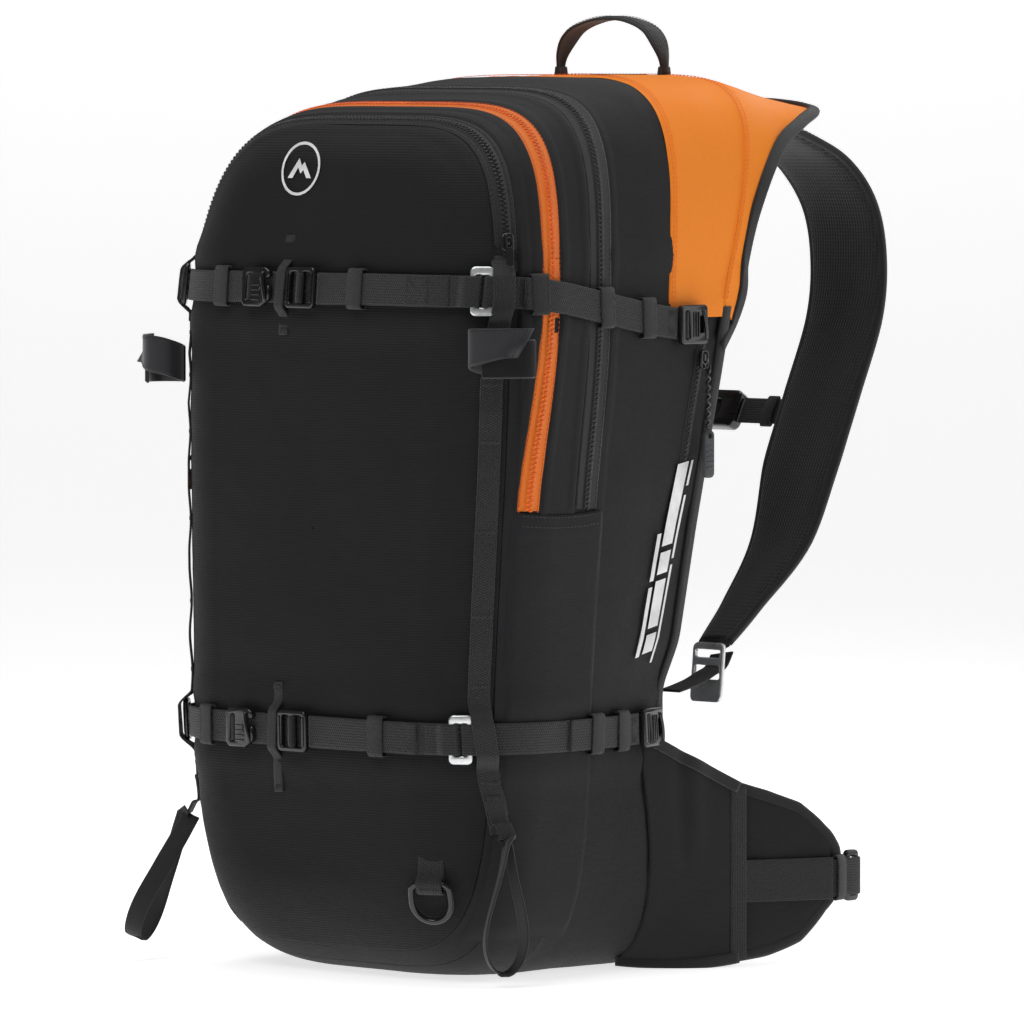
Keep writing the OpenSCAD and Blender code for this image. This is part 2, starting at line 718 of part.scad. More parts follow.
// ---- hip belt ----
// Plan and height of the right-hand wing: x, y, middle height, half height, thickness as a share
wing_stations = [[131, 6, 64, 61, 0.7], [133, 16, 62, 60, 1], [140, 34, 60, 57, 1], [150, 56, 58, 51.5, 1],
    [159, 76, 58, 43.5, 0.95], [166, 91, 60, 27, 0.8], [169, 98, 60, 17, 0.45]];

function wing_normal(i) =
    let (d = tangent([for (s = wing_stations) [s[0], s[1], 0]], i)) [d.y, -d.x, 0];

module hip_wing(mirrored) {
    color(black) sweep([for (i = [0:len(wing_stations) - 1])
        let (s = wing_stations[i],
             ring = pad_ring([s[0], s[1], s[2]], [0, 0, 1], wing_normal(i), s[3], wing_t * s[4]))
        mirrored ? [for (p = ring) flip(p)] : ring]);
}

module hip_wing_right() {
    hip_wing(false);
}

module hip_wing_left() {
    hip_wing(true);
}

belt_z = 54;
belt_w = 24;
module hip_webbing(mirrored) {
    inner = [for (i = [2:len(wing_stations) - 1]) let (s = wing_stations[i])
        [s[0], s[1], belt_z] + wing_normal(i) * (wing_t / 2 + 0.6)];
    tip = [[171, 106, belt_z], [171.2, 116, belt_z]];
    color(webbing_black) sweep([for (p = concat(inner, tip))
        let (q = p + [2.2, -0.8, 0], h = [0, 0, belt_w / 2],
             ring = [p - h, p + h, q + h, q - h])
        mirrored ? [for (c = ring) flip(c)] : ring]);
}

module hip_webbing_right() {
    hip_webbing(false);
}

module hip_webbing_left() {
    hip_webbing(true);
}

// The buckle halves hang inside the folded end of the webbing
belt_end = [165.5, 118, belt_z];
module hip_ring() {
    color(gloss) translate(belt_end) rotate([0, 0, 90]) plate(12, 33, 4, 3, [[0, 0, 5, 24]]);
}

module hip_hook() {
    color(gloss) translate(flip(belt_end) - [4, 0, 0]) rotate([0, 0, 90]) plate(12, 30, 4, 3, [[1, 0, 5, 18]]);
}

module lumbar_pad() {
    color(black) sweep([for (z = steps(34, 132, 7))
        let (e = sqrt(max(0.02, 1 - pow((z - 83) / 51, 4))), y = back_y(z) + 14.6)
        [[-92 * e, y, z], [92 * e, y, z], [86 * e, y + 12 * e, z], [-86 * e, y + 12 * e, z]]]);
}

front_panel();
front_gusset();
middle_gusset();
main_shell();
back_panel();
frame_sheet();
frame_stays();
side_panels();
airbag_cover();
edge_binding();
zip_front();
zip_orange();
zip_rear();
zip_side();
slider_front();
slider_orange();
slider_rear();
slider_side();
pull_side();
compression_strap_upper();
compression_strap_lower();
hook_buckle_upper();
hook_buckle_lower();
buckle_frames();
corner_slides();
corner_rings();
side_buckles();
strap_keepers();
daisy_webbing();
axe_loop_right();
axe_loop_left();
shaft_strap_right();
shaft_strap_left();
d_ring();
d_ring_tab();
haul_loop();
airbag_bundle();
inflator_body();
gas_cartridge();
valve_plunger();
trigger_cable();
trigger_pocket();
trigger_handle();
shoulder_strap_right();
shoulder_strap_left();
strap_webbing_right();
strap_webbing_left();
strap_adjuster_right();
strap_adjuster_left();
sternum_webbing_right();
sternum_webbing_left();
sternum_socket();
sternum_plug();
lumbar_pad();
hip_wing_right();
hip_wing_left();
hip_webbing_right();
hip_webbing_left();
hip_ring();
hip_hook();
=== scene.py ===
import math
import bmesh
import bpy
import numpy as np
from mathutils import Matrix, Vector


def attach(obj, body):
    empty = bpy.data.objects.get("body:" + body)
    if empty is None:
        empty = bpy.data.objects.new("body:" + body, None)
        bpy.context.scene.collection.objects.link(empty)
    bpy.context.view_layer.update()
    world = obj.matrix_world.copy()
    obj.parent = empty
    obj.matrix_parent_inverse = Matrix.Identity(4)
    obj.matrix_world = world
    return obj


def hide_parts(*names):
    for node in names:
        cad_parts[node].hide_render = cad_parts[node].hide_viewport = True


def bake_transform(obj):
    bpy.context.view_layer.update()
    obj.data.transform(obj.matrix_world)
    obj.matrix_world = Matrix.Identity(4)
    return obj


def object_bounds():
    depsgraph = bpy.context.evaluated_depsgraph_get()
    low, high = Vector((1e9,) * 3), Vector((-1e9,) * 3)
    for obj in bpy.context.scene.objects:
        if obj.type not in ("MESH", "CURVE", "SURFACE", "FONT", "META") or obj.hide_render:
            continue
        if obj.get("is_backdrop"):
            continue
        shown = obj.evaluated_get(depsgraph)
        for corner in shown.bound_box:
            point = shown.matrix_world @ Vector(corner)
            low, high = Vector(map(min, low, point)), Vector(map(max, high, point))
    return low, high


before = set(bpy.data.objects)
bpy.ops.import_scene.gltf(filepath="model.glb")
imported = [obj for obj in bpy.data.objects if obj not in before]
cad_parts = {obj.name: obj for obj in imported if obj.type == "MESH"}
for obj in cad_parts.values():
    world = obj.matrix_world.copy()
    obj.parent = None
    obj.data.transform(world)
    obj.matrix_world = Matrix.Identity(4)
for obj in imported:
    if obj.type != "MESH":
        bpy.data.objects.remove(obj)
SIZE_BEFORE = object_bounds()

MM = 0.001
RNG = np.random.RandomState(7)
ARR = np.array


# ---------- the pack's shape, in millimetres, as the part's source has it ----------
def clamp(v, lo, hi):
    return np.minimum(np.maximum(v, lo), hi)


def smooth(v):
    s = clamp(v, 0, 1)
    return s * s * (3 - 2 * s)


def table(points, width=24):
    """A function through the points with its corners rounded off."""
    xs = np.arange(points[0][0] - 80, points[-1][0] + 81, 1.0)
    ys = np.interp(xs, [p[0] for p in points], [p[1] for p in points])
    k = np.hanning(width + 2)[1:-1]
    pad = np.pad(ys, width, mode="edge")
    ys = np.convolve(pad, k / k.sum(), mode="same")[width:-width]
    return lambda v: np.interp(v, xs, ys)


BODY_H, BODY_W, R, CROWN, MID, SQ = 566.0, 304.0, 60.0, 4.0, 283.0, 4.6
SEAM_T = R * (1 - math.cos(math.radians(55)))
ORANGE_T, REAR_T, ZIP_LOW = 54.0, 97.0, 297.0
UPPER_Z, LOWER_Z = 434.0, 155.0
top_drop = table([(0, 22), (50, 18), (100, 7), (150, 0), (300, 0)], 20)
back_y = table([(0, 2), (60, -4), (130, -14), (178, -7), (208, 1), (281, 5), (348, 12), (434, 32),
    (500, 54), (566, 82)])
tuck = table([(0, 0), (100, 12), (178, 28), (208, 22), (281, 14), (348, 8), (434, 8), (566, 0)])


def half_w(z):
    return BODY_W / 2 - 9 * (1 - smooth((z - 100) / 320))


def front_y(z):
    return -202 + 6 * smooth((z - 150) / 270) + 22 * np.maximum(0, (z - 400) / 150) ** 2


def back_t(z):
    return back_y(z) - front_y(z)


def turn(t):
    return np.arccos(clamp(1 - np.minimum(t, R) / R, -1, 1))


def inset(t):
    return R * (1 - np.sin(turn(t)))


def reach(t, upper):
    base = 22 * clamp(1 - t / 100, 0, 1) ** 2 - 4
    return np.where(upper, BODY_H - top_drop(t) - MID - 0.6 * inset(t), MID - base - 0.8 * inset(t))


def narrowing(t, z):
    return tuck(z) * clamp((t - R) / (back_t(z) - R), 0, 1) ** 2


def lump(a, b):
    return (np.abs(a) ** SQ + np.abs(b) ** SQ) ** (1 / SQ)


def skin(t, phi, out=0.0):
    """The shell's point at depth t behind the front, at angle phi round the outline."""
    t, phi, out = np.broadcast_arrays(np.asarray(t, float), np.asarray(phi, float), np.asarray(out, float))
    c, s = np.cos(phi), np.sin(phi)
    k = lump(c, s)
    ex, ez, n = c / k, s / k, turn(t)
    z = np.maximum(MID + (reach(t, ez > 0) + out * np.sin(n)) * ez, np.maximum(0, -out))
    x = (half_w(z) - inset(t) + out * np.sin(n) - narrowing(t, z)) * ex
    return np.stack([x, front_y(z) + t - out * np.cos(n), z], -1)


def at_height(t, z, side=1, out=0.0):
    """The shell's point at depth t and height z, on the right (1) or left (-1) side."""
    t, z, out = np.broadcast_arrays(np.asarray(t, float), np.asarray(z, float), np.asarray(out, float))
    n = turn(t)
    s = clamp((z - MID) / (reach(t, z > MID) + out * np.sin(n)), -0.999, 0.999)
    c = (1 - np.abs(s) ** SQ) ** (1 / SQ)
    x = side * (half_w(z) - inset(t) + out * np.sin(n) - narrowing(t, z)) * c
    return np.stack([x, front_y(z) + t - out * np.cos(n), z], -1)


def on_face(x, z, out=0.0):
    """The point of the front face at x and z."""
    x, z, out = np.broadcast_arrays(np.asarray(x, float), np.asarray(z, float), np.asarray(out, float))
    q = lump(x / (half_w(z) - R), (z - MID) / reach(0 * z, z > MID))
    return np.stack([x, front_y(z) - CROWN * (1 - np.minimum(q, 1) ** 2) - out, z], -1)


BEND = R * math.pi / 2


def wrap(u, z, out=0.0):
    """The point at distance u round the body from its centre line, at height z."""
    u, z, out = np.broadcast_arrays(np.asarray(u, float), np.asarray(z, float), np.asarray(out, float))
    v = np.abs(u) - at_height(0 * z, z)[..., 0]
    t = np.where(v < BEND, R * (1 - np.cos(clamp(v, 0, BEND) / BEND * math.pi / 2)), R + v - BEND)
    side = at_height(t, z, 1, out)
    side[..., 0] *= np.where(u < 0, -1, 1)
    return np.where((v <= 0)[..., None], on_face(u, z, out), side)


def unit(v):
    return v / np.maximum(np.linalg.norm(v, axis=-1, keepdims=True), 1e-9)


def lean(z):
    """How far the orange zip leans forwards; the rear zip leans by 0.6 of it."""
    return -14 * smooth((440 - z) / 150)


def edge_z(phi):
    return skin(200.0, phi)[..., 2]


def edge_t(phi):
    return back_t(edge_z(phi))


def upper_z(u):
    return UPPER_Z - 24 * smooth((np.abs(u) - 130) / 190)


def lower_z(u):
    return LOWER_Z + 0 * np.asarray(u, float)


def hood(points, n):
    """A smooth curve through points, n steps to each stretch."""
    p, out = ARR(points, float), []
    for i in range(len(p) - 1):
        a, b, c, d = p[max(i - 1, 0)], p[i], p[i + 1], p[min(i + 2, len(p) - 1)]
        for j in range(n):
            s = j / n
            out.append((2 * b + (c - a) * s + (2 * a - 5 * b + 4 * c - d) * s**2
                + (3 * b - a - 3 * c + d) * s**3) / 2)
    return ARR(out + [p[-1]])


def mirror(p):
    return ARR(p, float) * ARR([-1.0, 1, 1])


_lattice = RNG.rand(32, 32, 32) * 2 - 1


def noise3(p, scale, seed=0):
    """Smooth noise from -1 to 1 at points p, whose bumps are about scale millimetres wide."""
    q = ARR(p, float) / scale + seed * 7.31
    i = np.floor(q).astype(int)
    f = q - i
    f = f * f * (3 - 2 * f)
    out = 0
    for a in (0, 1):
        for b in (0, 1):
            for c in (0, 1):
                w = (f[..., 0] if a else 1 - f[..., 0]) * (f[..., 1] if b else 1 - f[..., 1]) * (f[..., 2]
                    if c else 1 - f[..., 2])
                out = out + w * _lattice[(i[..., 0] + a) % 32, (i[..., 1] + b) % 32, (i[..., 2] + c) % 32]
    return out


# ---------- meshes ----------
def build(name, verts, faces, mat, shade=True, face_uv=None):
    me = bpy.data.meshes.new(name)
    me.from_pydata((ARR(verts, float) * MM).tolist(), [], [list(map(int, f)) for f in faces])
    if face_uv is not None:
        layer = me.uv_layers.new(name="uv")
        layer.data.foreach_set("uv", ARR(face_uv, float).ravel())
    me.materials.append(mat)
    me.polygons.foreach_set("use_smooth", [shade] * len(me.polygons))
    me.update()
    ob = bpy.data.objects.new(name, me)
    bpy.context.collection.objects.link(ob)
    return ob


def grid(name, P, mat, loop_i=False, loop_j=False, caps=False, away=None):
    """A surface through the array of points P, closed on itself along i or j where asked.

    away is an inside point that an open surface faces away from.
    """
    P = ARR(P, float)
    ni, nj = P.shape[:2]
    Pi = np.concatenate([P, P[:1]]) if loop_i else P
    Pj = np.concatenate([P, P[:, :1]], 1) if loop_j else P
    su = np.concatenate([[0], np.cumsum(np.linalg.norm(np.diff(Pi, axis=0), axis=-1).mean(1))])
    sv = np.concatenate([[0], np.cumsum(np.linalg.norm(np.diff(Pj, axis=1), axis=-1).mean(0))])
    I, J = np.meshgrid(np.arange(len(Pi) - 1), np.arange(Pj.shape[1] - 1), indexing="ij")
    I, J = I.ravel(), J.ravel()
    idx = lambda i, j: (i % ni) * nj + (j % nj)
    faces = np.stack([idx(I, J), idx(I + 1, J), idx(I + 1, J + 1), idx(I, J + 1)], -1)
    corners = ((I, J), (I + 1, J), (I + 1, J + 1), (I, J + 1))
    fuv = np.stack([np.stack([su[a], sv[b]], -1) for a, b in corners], 1) * MM
    V = P.reshape(-1, 3)
    flip = False
    if away is not None:
        n = np.cross(V[faces[:, 1]] - V[faces[:, 0]], V[faces[:, 3]] - V[faces[:, 0]])
        flip = (n * (V[faces[:, 0]] - ARR(away, float))).sum() < 0
    elif loop_j or loop_i:
        a, b, c, d = (V[faces[:, k]] - V.mean(0) for k in range(4))
        flip = (np.cross(a, b) * c).sum() + (np.cross(a, c) * d).sum() < 0
    faces, fuv = (faces[:, ::-1], fuv[:, ::-1]) if flip else (faces, fuv)
    faces, fuv = faces.tolist(), fuv.reshape(-1, 2)
    if caps:
        ends = [[idx(0, j) for j in range(nj)], [idx(ni - 1, j) for j in range(nj - 1, -1, -1)]]
        for e in ends:
            faces.append(e[::-1] if flip else e)
            fuv = np.concatenate([fuv, np.zeros((nj, 2))])
    return build(name, V, faces, mat, face_uv=fuv)


def rrect(w, h, r, k=3):
    """A closed rectangle with round corners, as (side, normal) points."""
    out = []
    for cx, cy, a0 in ((w / 2 - r, h / 2 - r, 0), (-w / 2 + r, h / 2 - r, 90),
            (-w / 2 + r, -h / 2 + r, 180), (w / 2 - r, -h / 2 + r, 270)):
        for i in range(k + 1):
            a = math.radians(a0 + 90 * i / k)
            out.append((cx + r * math.cos(a), cy + r * math.sin(a)))
    return ARR(out)


def web_profile(w, h, n=6):
    """Webbing in section: flat faces with several points across and rounded edges."""
    xs = np.linspace(w / 2 - h / 2, -w / 2 + h / 2, n)
    top = [(x, h / 2) for x in xs]
    left = [(-w / 2 + h / 2 - h / 2 * math.sin(math.radians(a)), h / 2 * math.cos(math.radians(a)))
        for a in (45, 90, 135)]
    bottom = [(x, -h / 2) for x in xs[::-1]]
    right = [(w / 2 - h / 2 + h / 2 * math.sin(math.radians(a)), -h / 2 * math.cos(math.radians(a)))
        for a in (45, 90, 135)]
    return ARR(top + left + bottom + right)


def tangents(C, loop=False):
    d = np.roll(C, -1, 0) - np.roll(C, 1, 0)
    if not loop:
        d[0], d[-1] = C[1] - C[0], C[-1] - C[-2]
    return unit(d)


def sweep(name, C, S, prof, mat, loop=False, scale=None, N=None):
    """A profile carried along the centre line C, with S its side direction."""
    C, S = ARR(C, float), np.broadcast_to(ARR(S, float), ARR(C).shape)
    T = tangents(C, loop)
    if N is None:
        S = unit(S - T * (S * T).sum(-1, keepdims=True))
        N = np.cross(T, S)
    prof = np.broadcast_to(prof, (len(C),) + ARR(prof).shape[-2:]).copy()
    if scale is not None:
        prof = prof * ARR(scale, float).reshape(len(C), 1, -1)
    P = C[:, None] + S[:, None] * prof[..., 0, None] + N[:, None] * prof[..., 1, None]
    return grid(name, P, mat, loop_i=loop, loop_j=True, caps=not loop)


def resample(C, pitch, loop=False):
    """The line C again, with points about pitch apart."""
    C = ARR(C, float)
    if loop:
        C = np.concatenate([C, C[:1]])
    s = np.concatenate([[0], np.cumsum(np.linalg.norm(np.diff(C, axis=0), axis=-1))])
    n = max(2, int(round(s[-1] / pitch)) + (0 if loop else 1))
    q = np.linspace(0, s[-1], n, endpoint=not loop)
    return np.stack([np.interp(q, s, C[:, k]) for k in range(3)], -1)


def scatter(name, tv, tf, C, X, Y, Z, mat):
    """Many copies of a small template in one mesh: its axes lie along X, Y and Z at each point of C."""
    tv = ARR(tv, float)
    n = len(C)
    V = C[:, None] + X[:, None] * tv[None, :, 0, None] + Y[:, None] * tv[None, :, 1, None] + Z[:,
        None] * tv[None, :, 2, None]
    F = [[i * len(tv) + k for k in f] for i in range(n) for f in tf]
    return build(name, V.reshape(-1, 3), F, mat)


def capsule(length, r, flat=1.0):
    """A six-sided stitch or tooth along x, as points and faces."""
    v, f = [], []
    xs, rs = (-0.5, -0.38, 0.38, 0.5), (0.35, 1, 1, 0.35)
    for x, k in zip(xs, rs):
        for a in range(6):
            v.append((x * length, r * k * math.cos(a * math.pi / 3),
                r * flat * k * math.sin(a * math.pi / 3)))
    for i in range(3):
        for a in range(6):
            b = (a + 1) % 6
            f.append((i * 6 + a, i * 6 + b, i * 6 + 6 + b, i * 6 + 6 + a))
    f += [tuple(range(5, -1, -1)), tuple(range(18, 24))]
    return v, f


def stitches(name, C, N, mat, pitch=3.2, length=2.4, r=0.32, loop=False):
    """A row of stitches along C, where N is the surface's normal."""
    C0 = ARR(C, float)
    C = resample(C0, pitch, loop)
    N = np.broadcast_to(ARR(N, float), C0.shape)
    s = lambda A: np.concatenate([[0], np.cumsum(np.linalg.norm(np.diff(A, axis=0), axis=-1))])
    a, b = s(C0), s(C)
    N = unit(np.stack([np.interp(b * a[-1] / max(b[-1], 1e-9), a, N[:, k]) for k in range(3)], -1))
    T = tangents(C, loop)
    Y = unit(np.cross(N, T))
    Z = np.cross(T, Y)
    tv, tf = capsule(length, r, 0.7)
    return scatter(name, tv, tf, C + Z * r * 0.15, T, Y, Z, mat)


def box_stitch(name, F, w, h, mat, pitch=2.2):
    """A sewn box with a cross in it, in the plane of the frame F (x along, y up, z outwards)."""
    o, x, y, z = F
    p = lambda a, b: o + x * a * w / 2 + y * b * h / 2
    lines = [[p(-1, -1), p(1, -1)], [p(1, -1), p(1, 1)], [p(1, 1), p(-1, 1)], [p(-1, 1), p(-1, -1)]]
    lines += [[p(-1, -1), p(1, 1)], [p(-1, 1), p(1, -1)]]
    obs = [stitches(f"{name}_{i}", ARR(l), z, mat, pitch, pitch * 0.75, 0.26) for i, l in enumerate(lines)]
    return join(name, obs)


def zigzag(name, F, w, h, mat, n=9):
    """A bartack: close zigzag stitches over w by h."""
    o, x, y, z = F
    pts = ARR([o + x * (-w / 2 + w * i / n) + y * (h / 2 if i % 2 else -h / 2) for i in range(n + 1)])
    mid, d = (pts[1:] + pts[:-1]) / 2, pts[1:] - pts[:-1]
    T = unit(d)
    Z = np.broadcast_to(z, T.shape)
    tv, tf = capsule(float(np.linalg.norm(d[0])), 0.3, 0.8)
    return scatter(name, tv, tf, mid, T, np.cross(Z, T), Z, mat)


def join(name, obs):
    """One object from several, with all their materials."""
    mats, verts, faces, uvs, ids, shade = [], [], [], [], [], []
    base = 0
    for o in obs:
        me = o.data
        co = np.empty(len(me.vertices) * 3)
        me.vertices.foreach_get("co", co)
        verts.append(co.reshape(-1, 3) / MM)
        idx = []
        for m in me.materials:
            if m not in mats:
                mats.append(m)
            idx.append(mats.index(m))
        has = me.uv_layers.active
        uv = np.zeros(len(me.loops) * 2)
        if has:
            has.data.foreach_get("uv", uv)
        uvs.append(uv.reshape(-1, 2))
        for p in me.polygons:
            faces.append([base + k for k in p.vertices])
            ids.append(idx[p.material_index])
            shade.append(p.use_smooth)
        base += len(me.vertices)
    new = build(name, np.concatenate(verts), faces, mats[0], face_uv=np.concatenate(uvs))
    for m in mats[1:]:
        new.data.materials.append(m)
    new.data.polygons.foreach_set("material_index", ids)
    new.data.polygons.foreach_set("use_smooth", shade)
    for o in obs:
        me = o.data
        bpy.data.objects.remove(o)
        bpy.data.meshes.remove(me)
    return new


def plate(name, outline, holes, thick, F, mat, bevel=0.7, lift=0.0):
    """A plate with holes and rounded edges, in the frame F (x along, y up, z outwards).

    Its outline lies in x and y, and it is thick along z from lift outwards.
    """
    o, x, y, z = F
    cu = bpy.data.curves.new(name, "CURVE")
    cu.dimensions, cu.fill_mode = "2D", "BOTH"
    cu.extrude = max(0.0001, (thick / 2 - bevel)) * 0.01
    cu.bevel_depth, cu.offset, cu.bevel_resolution = bevel * 0.01, -bevel * 0.01, 2
    for poly in [outline] + list(holes):
        sp = cu.splines.new("POLY")
        sp.points.add(len(poly) - 1)
        for q, pt in zip(sp.points, poly):
            q.co = (pt[0] * 0.01, pt[1] * 0.01, 0, 1)
        sp.use_cyclic_u = True
    tmp = bpy.data.objects.new(name, cu)
    bpy.context.collection.objects.link(tmp)
    dg = bpy.context.evaluated_depsgraph_get()
    me = bpy.data.meshes.new_from_object(tmp.evaluated_get(dg))
    bpy.data.objects.remove(tmp)
    bpy.data.curves.remove(cu)
    v = np.empty(len(me.vertices) * 3)
    me.vertices.foreach_get("co", v)
    v = v.reshape(-1, 3) * 100
    P = o + x * v[:, :1] + y * v[:, 1:2] + z * (v[:, 2:] + lift + thick / 2)
    faces = [list(p.vertices) for p in me.polygons]
    bpy.data.meshes.remove(me)
    if np.dot(np.cross(x, y), z) < 0:
        faces = [f[::-1] for f in faces]
    ob = build(name, P, faces, mat)
    ob.data.shade_smooth()
    weld(ob)
    return ob


def weld(ob):
    """Join doubled points, and mark edges sharper than 35 degrees."""
    bm = bmesh.new()
    bm.from_mesh(ob.data)
    bmesh.ops.remove_doubles(bm, verts=bm.verts, dist=0.00001)
    bmesh.ops.recalc_face_normals(bm, faces=bm.faces)
    for e in bm.edges:
        e.smooth = e.calc_face_angle(0) < math.radians(35)
    bm.to_mesh(ob.data)
    bm.free()
    ob.data.update()


def rounded(w, h, r, k=5, cx=0.0, cy=0.0):
    return [(p[0] + cx, p[1] + cy) for p in rrect(w, h, r, k)]


def tube(name, C, r, mat, loop=False, k=10):
    """A round bar of radius r along C, with k sides."""
    a = np.linspace(0, 2 * math.pi, k, endpoint=False)
    prof = np.stack([np.cos(a), np.sin(a)], -1)
    rr = np.broadcast_to(ARR(r, float), (len(C),))
    C = ARR(C, float)
    T = tangents(C, loop)
    S = [unit(np.cross(T[0], (0.3, 0.2, 0.9)))]
    for t in T[1:]:
        s = S[-1] - t * np.dot(S[-1], t)
        S.append(unit(s))
    S = ARR(S)
    return sweep(name, C, S, prof, mat, loop=loop, scale=np.stack([rr, rr], -1))


def band_frame(u, z, out):
    """Origin and axes on the band: x along it, y up, z outwards."""
    d = wrap(u + 5, z) - wrap(u - 5, z)
    a = math.atan2(d[1], d[0])
    x = ARR([math.cos(a), math.sin(a), 0])
    e = wrap(u, z + 10) - wrap(u, z - 10)
    y = unit(e - x * np.dot(e, x))
    return ARR(wrap(u, z, out)), x, y, np.cross(x, y)


def piece(ob, body, slot, *nodes, fill=None):
    """Hang an object on its body, and hide the CAD nodes it stands for. The slot is not used."""
    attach(ob, body)
    if nodes:
        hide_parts(*nodes)
    return ob


# ---------- materials ----------
class Graph:
    """A material under construction."""

    def __init__(self, name):
        self.m = bpy.data.materials.new(name)
        self.m.use_nodes = True
        self.t = self.m.node_tree
        self.b = self.t.nodes["Principled BSDF"]

    def node(self, kind, props=None, **ins):
        n = self.t.nodes.new(kind)
        for k, v in (props or {}).items():
            setattr(n, k, v)
        for k, v in ins.items():
            self.put(n.inputs[k.replace("_", " ")] if not k.startswith("i") or not k[1:].isdigit()
                else n.inputs[int(k[1:])], v)
        return n

    def put(self, socket, v):
        if isinstance(v, bpy.types.NodeSocket):
            self.t.links.new(v, socket)
        else:
            socket.default_value = v

    def op(self, what, a, b=0.0, c=None):
        n = self.node("ShaderNodeMath", {"operation": what}, i0=a, i1=b)
        if c is not None:
            self.put(n.inputs[2], c)
        return n.outputs[0]

    def coords(self, uv=False):
        c = self.node("ShaderNodeTexCoord")
        return c.outputs["UV" if uv else "Object"]

    def xyz(self, v):
        return self.node("ShaderNodeSeparateXYZ", i0=v).outputs

    def noise(self, v, scale, detail=3.0, rough=0.5):
        return self.node("ShaderNodeTexNoise", None, Vector=v, Scale=scale, Detail=detail,
            Roughness=rough).outputs["Fac"]

    def sine(self, v, pitch_mm, phase=0.0):
        return self.op("SINE", self.op("MULTIPLY_ADD", v, 2 * math.pi / (pitch_mm * MM), phase))

    def mix(self, f, a, b):
        n = self.node("ShaderNodeMix", {"data_type": "RGBA"})
        self.put(n.inputs["Factor"], f)
        self.put(n.inputs[6], a)
        self.put(n.inputs[7], b)
        return n.outputs[2]

    def ramp(self, v, lo, hi, a=0.0, b=1.0):
        return self.node("ShaderNodeMapRange", None, Value=v, From_Min=lo, From_Max=hi, To_Min=a,
            To_Max=b).outputs[0]

    def bump(self, height, strength, dist_mm, after=None):
        n = self.node("ShaderNodeBump", None, Height=height, Strength=strength, Distance=dist_mm * MM)
        if after is not None:
            self.t.links.new(after, n.inputs["Normal"])
        self.t.links.new(n.outputs[0], self.b.inputs["Normal"])
        return n.outputs[0]

    def set(self, **kw):
        for k, v in kw.items():
            self.put(self.b.inputs[k.replace("_", " ")], v)


def shade_of(c, k):
    return (min(1, c[0] * k), min(1, c[1] * k), min(1, c[2] * k), 1)


def fabric(name, col, rough=0.8, rib=None, weave=None, fine=0.25, wrinkle=0.0, sheen=0.25, vary=0.25,
        uv=False, spec=0.3, highlight_tint=None):
    """Cloth: rib is (pitch, depth) of ribs along Z or V, weave (pitch, depth) of a plain weave."""
    g = Graph(name)
    c = g.coords(uv)
    x, y, z = g.xyz(c)
    h = g.op("MULTIPLY", g.noise(c, 2600, 2), fine)
    if rib:
        v = z if not uv else y
        wob = g.op("MULTIPLY", g.noise(c, 60, 2), 0.0006)
        r = g.sine(g.op("ADD", v, wob), rib[0])
        h = g.op("MULTIPLY_ADD", r, rib[1], h)
    if weave:
        a, b = (x, y) if uv else (g.op("ADD", x, y), z)
        w = g.op("MULTIPLY", g.sine(a, weave[0]), g.sine(b, weave[0]))
        h = g.op("MULTIPLY_ADD", w, weave[1], h)
    big = g.noise(c, 9, 3)
    mid = g.noise(c, 260, 3, 0.7)
    f = g.op("ADD", g.op("MULTIPLY", big, 0.6), g.op("MULTIPLY", mid, 0.4))
    colour = g.mix(g.ramp(f, 0.3, 0.7), shade_of(col, 1 - vary), shade_of(col, 1 + vary))
    # painted highlight: the raised crests of the ribs and weave are lightened to 1.6 times the given tint,
    # or the cloth's own colour
    if rib or weave:
        colour = g.mix(g.ramp(h, -0.3, 0.9, 0.0, 0.35), colour, shade_of(highlight_tint or col, 1.6))
    g.set(Base_Color=colour, Roughness=g.ramp(mid, 0.3, 0.7, rough - 0.06, rough + 0.06),
        Specular_IOR_Level=spec)
    g.set(Sheen_Weight=sheen, Sheen_Roughness=0.45)
    first = g.bump(h, 0.55, 0.35)
    if wrinkle:
        w = g.noise(g.node("ShaderNodeMapping", None, Vector=c, Scale=(1, 1, 1.7)).outputs[0], 16, 3, 0.55)
        g.bump(w, wrinkle, 3.0, first)
    return g.m


def webbing(name, col, pitch=1.7, deep=1.0, rough=0.62, vary=0.3):
    """Woven tape: threads cross in a checkerboard."""
    g = Graph(name)
    c = g.coords(True)
    x, y = g.xyz(c)[:2]
    row = g.op("FLOOR", g.op("MULTIPLY", y, 1 / (pitch * MM)))
    odd = g.op("MODULO", g.op("ABSOLUTE", row), 2.0)
    along = g.op("ABSOLUTE", g.sine(g.op("MULTIPLY_ADD", odd, pitch * MM * 0.5, x), 2 * pitch))
    across = g.op("ABSOLUTE", g.sine(y, 2 * pitch))
    h = g.op("POWER", g.op("MULTIPLY", along, across), 0.6)
    n = g.noise(c, 900, 3, 0.6)
    # painted shade and highlight: the weave's hollows are darkened to 0.35 of the colour and its crests
    # lightened, following the bump height
    colour = g.mix(g.ramp(h, 0.0, 1.0), shade_of(col, 0.35), shade_of(col, 1 + vary))
    colour = g.mix(g.ramp(n, 0.45, 0.8, 0, 0.4), colour, shade_of(col, 1.7))
    g.set(Base_Color=colour, Roughness=g.ramp(n, 0.3, 0.7, rough - 0.08, rough + 0.08),
        Specular_IOR_Level=0.45, Sheen_Weight=0.15)
    g.bump(g.op("ADD", h, g.op("MULTIPLY", n, 0.3)), 0.8 * deep, 0.5)
    return g.m


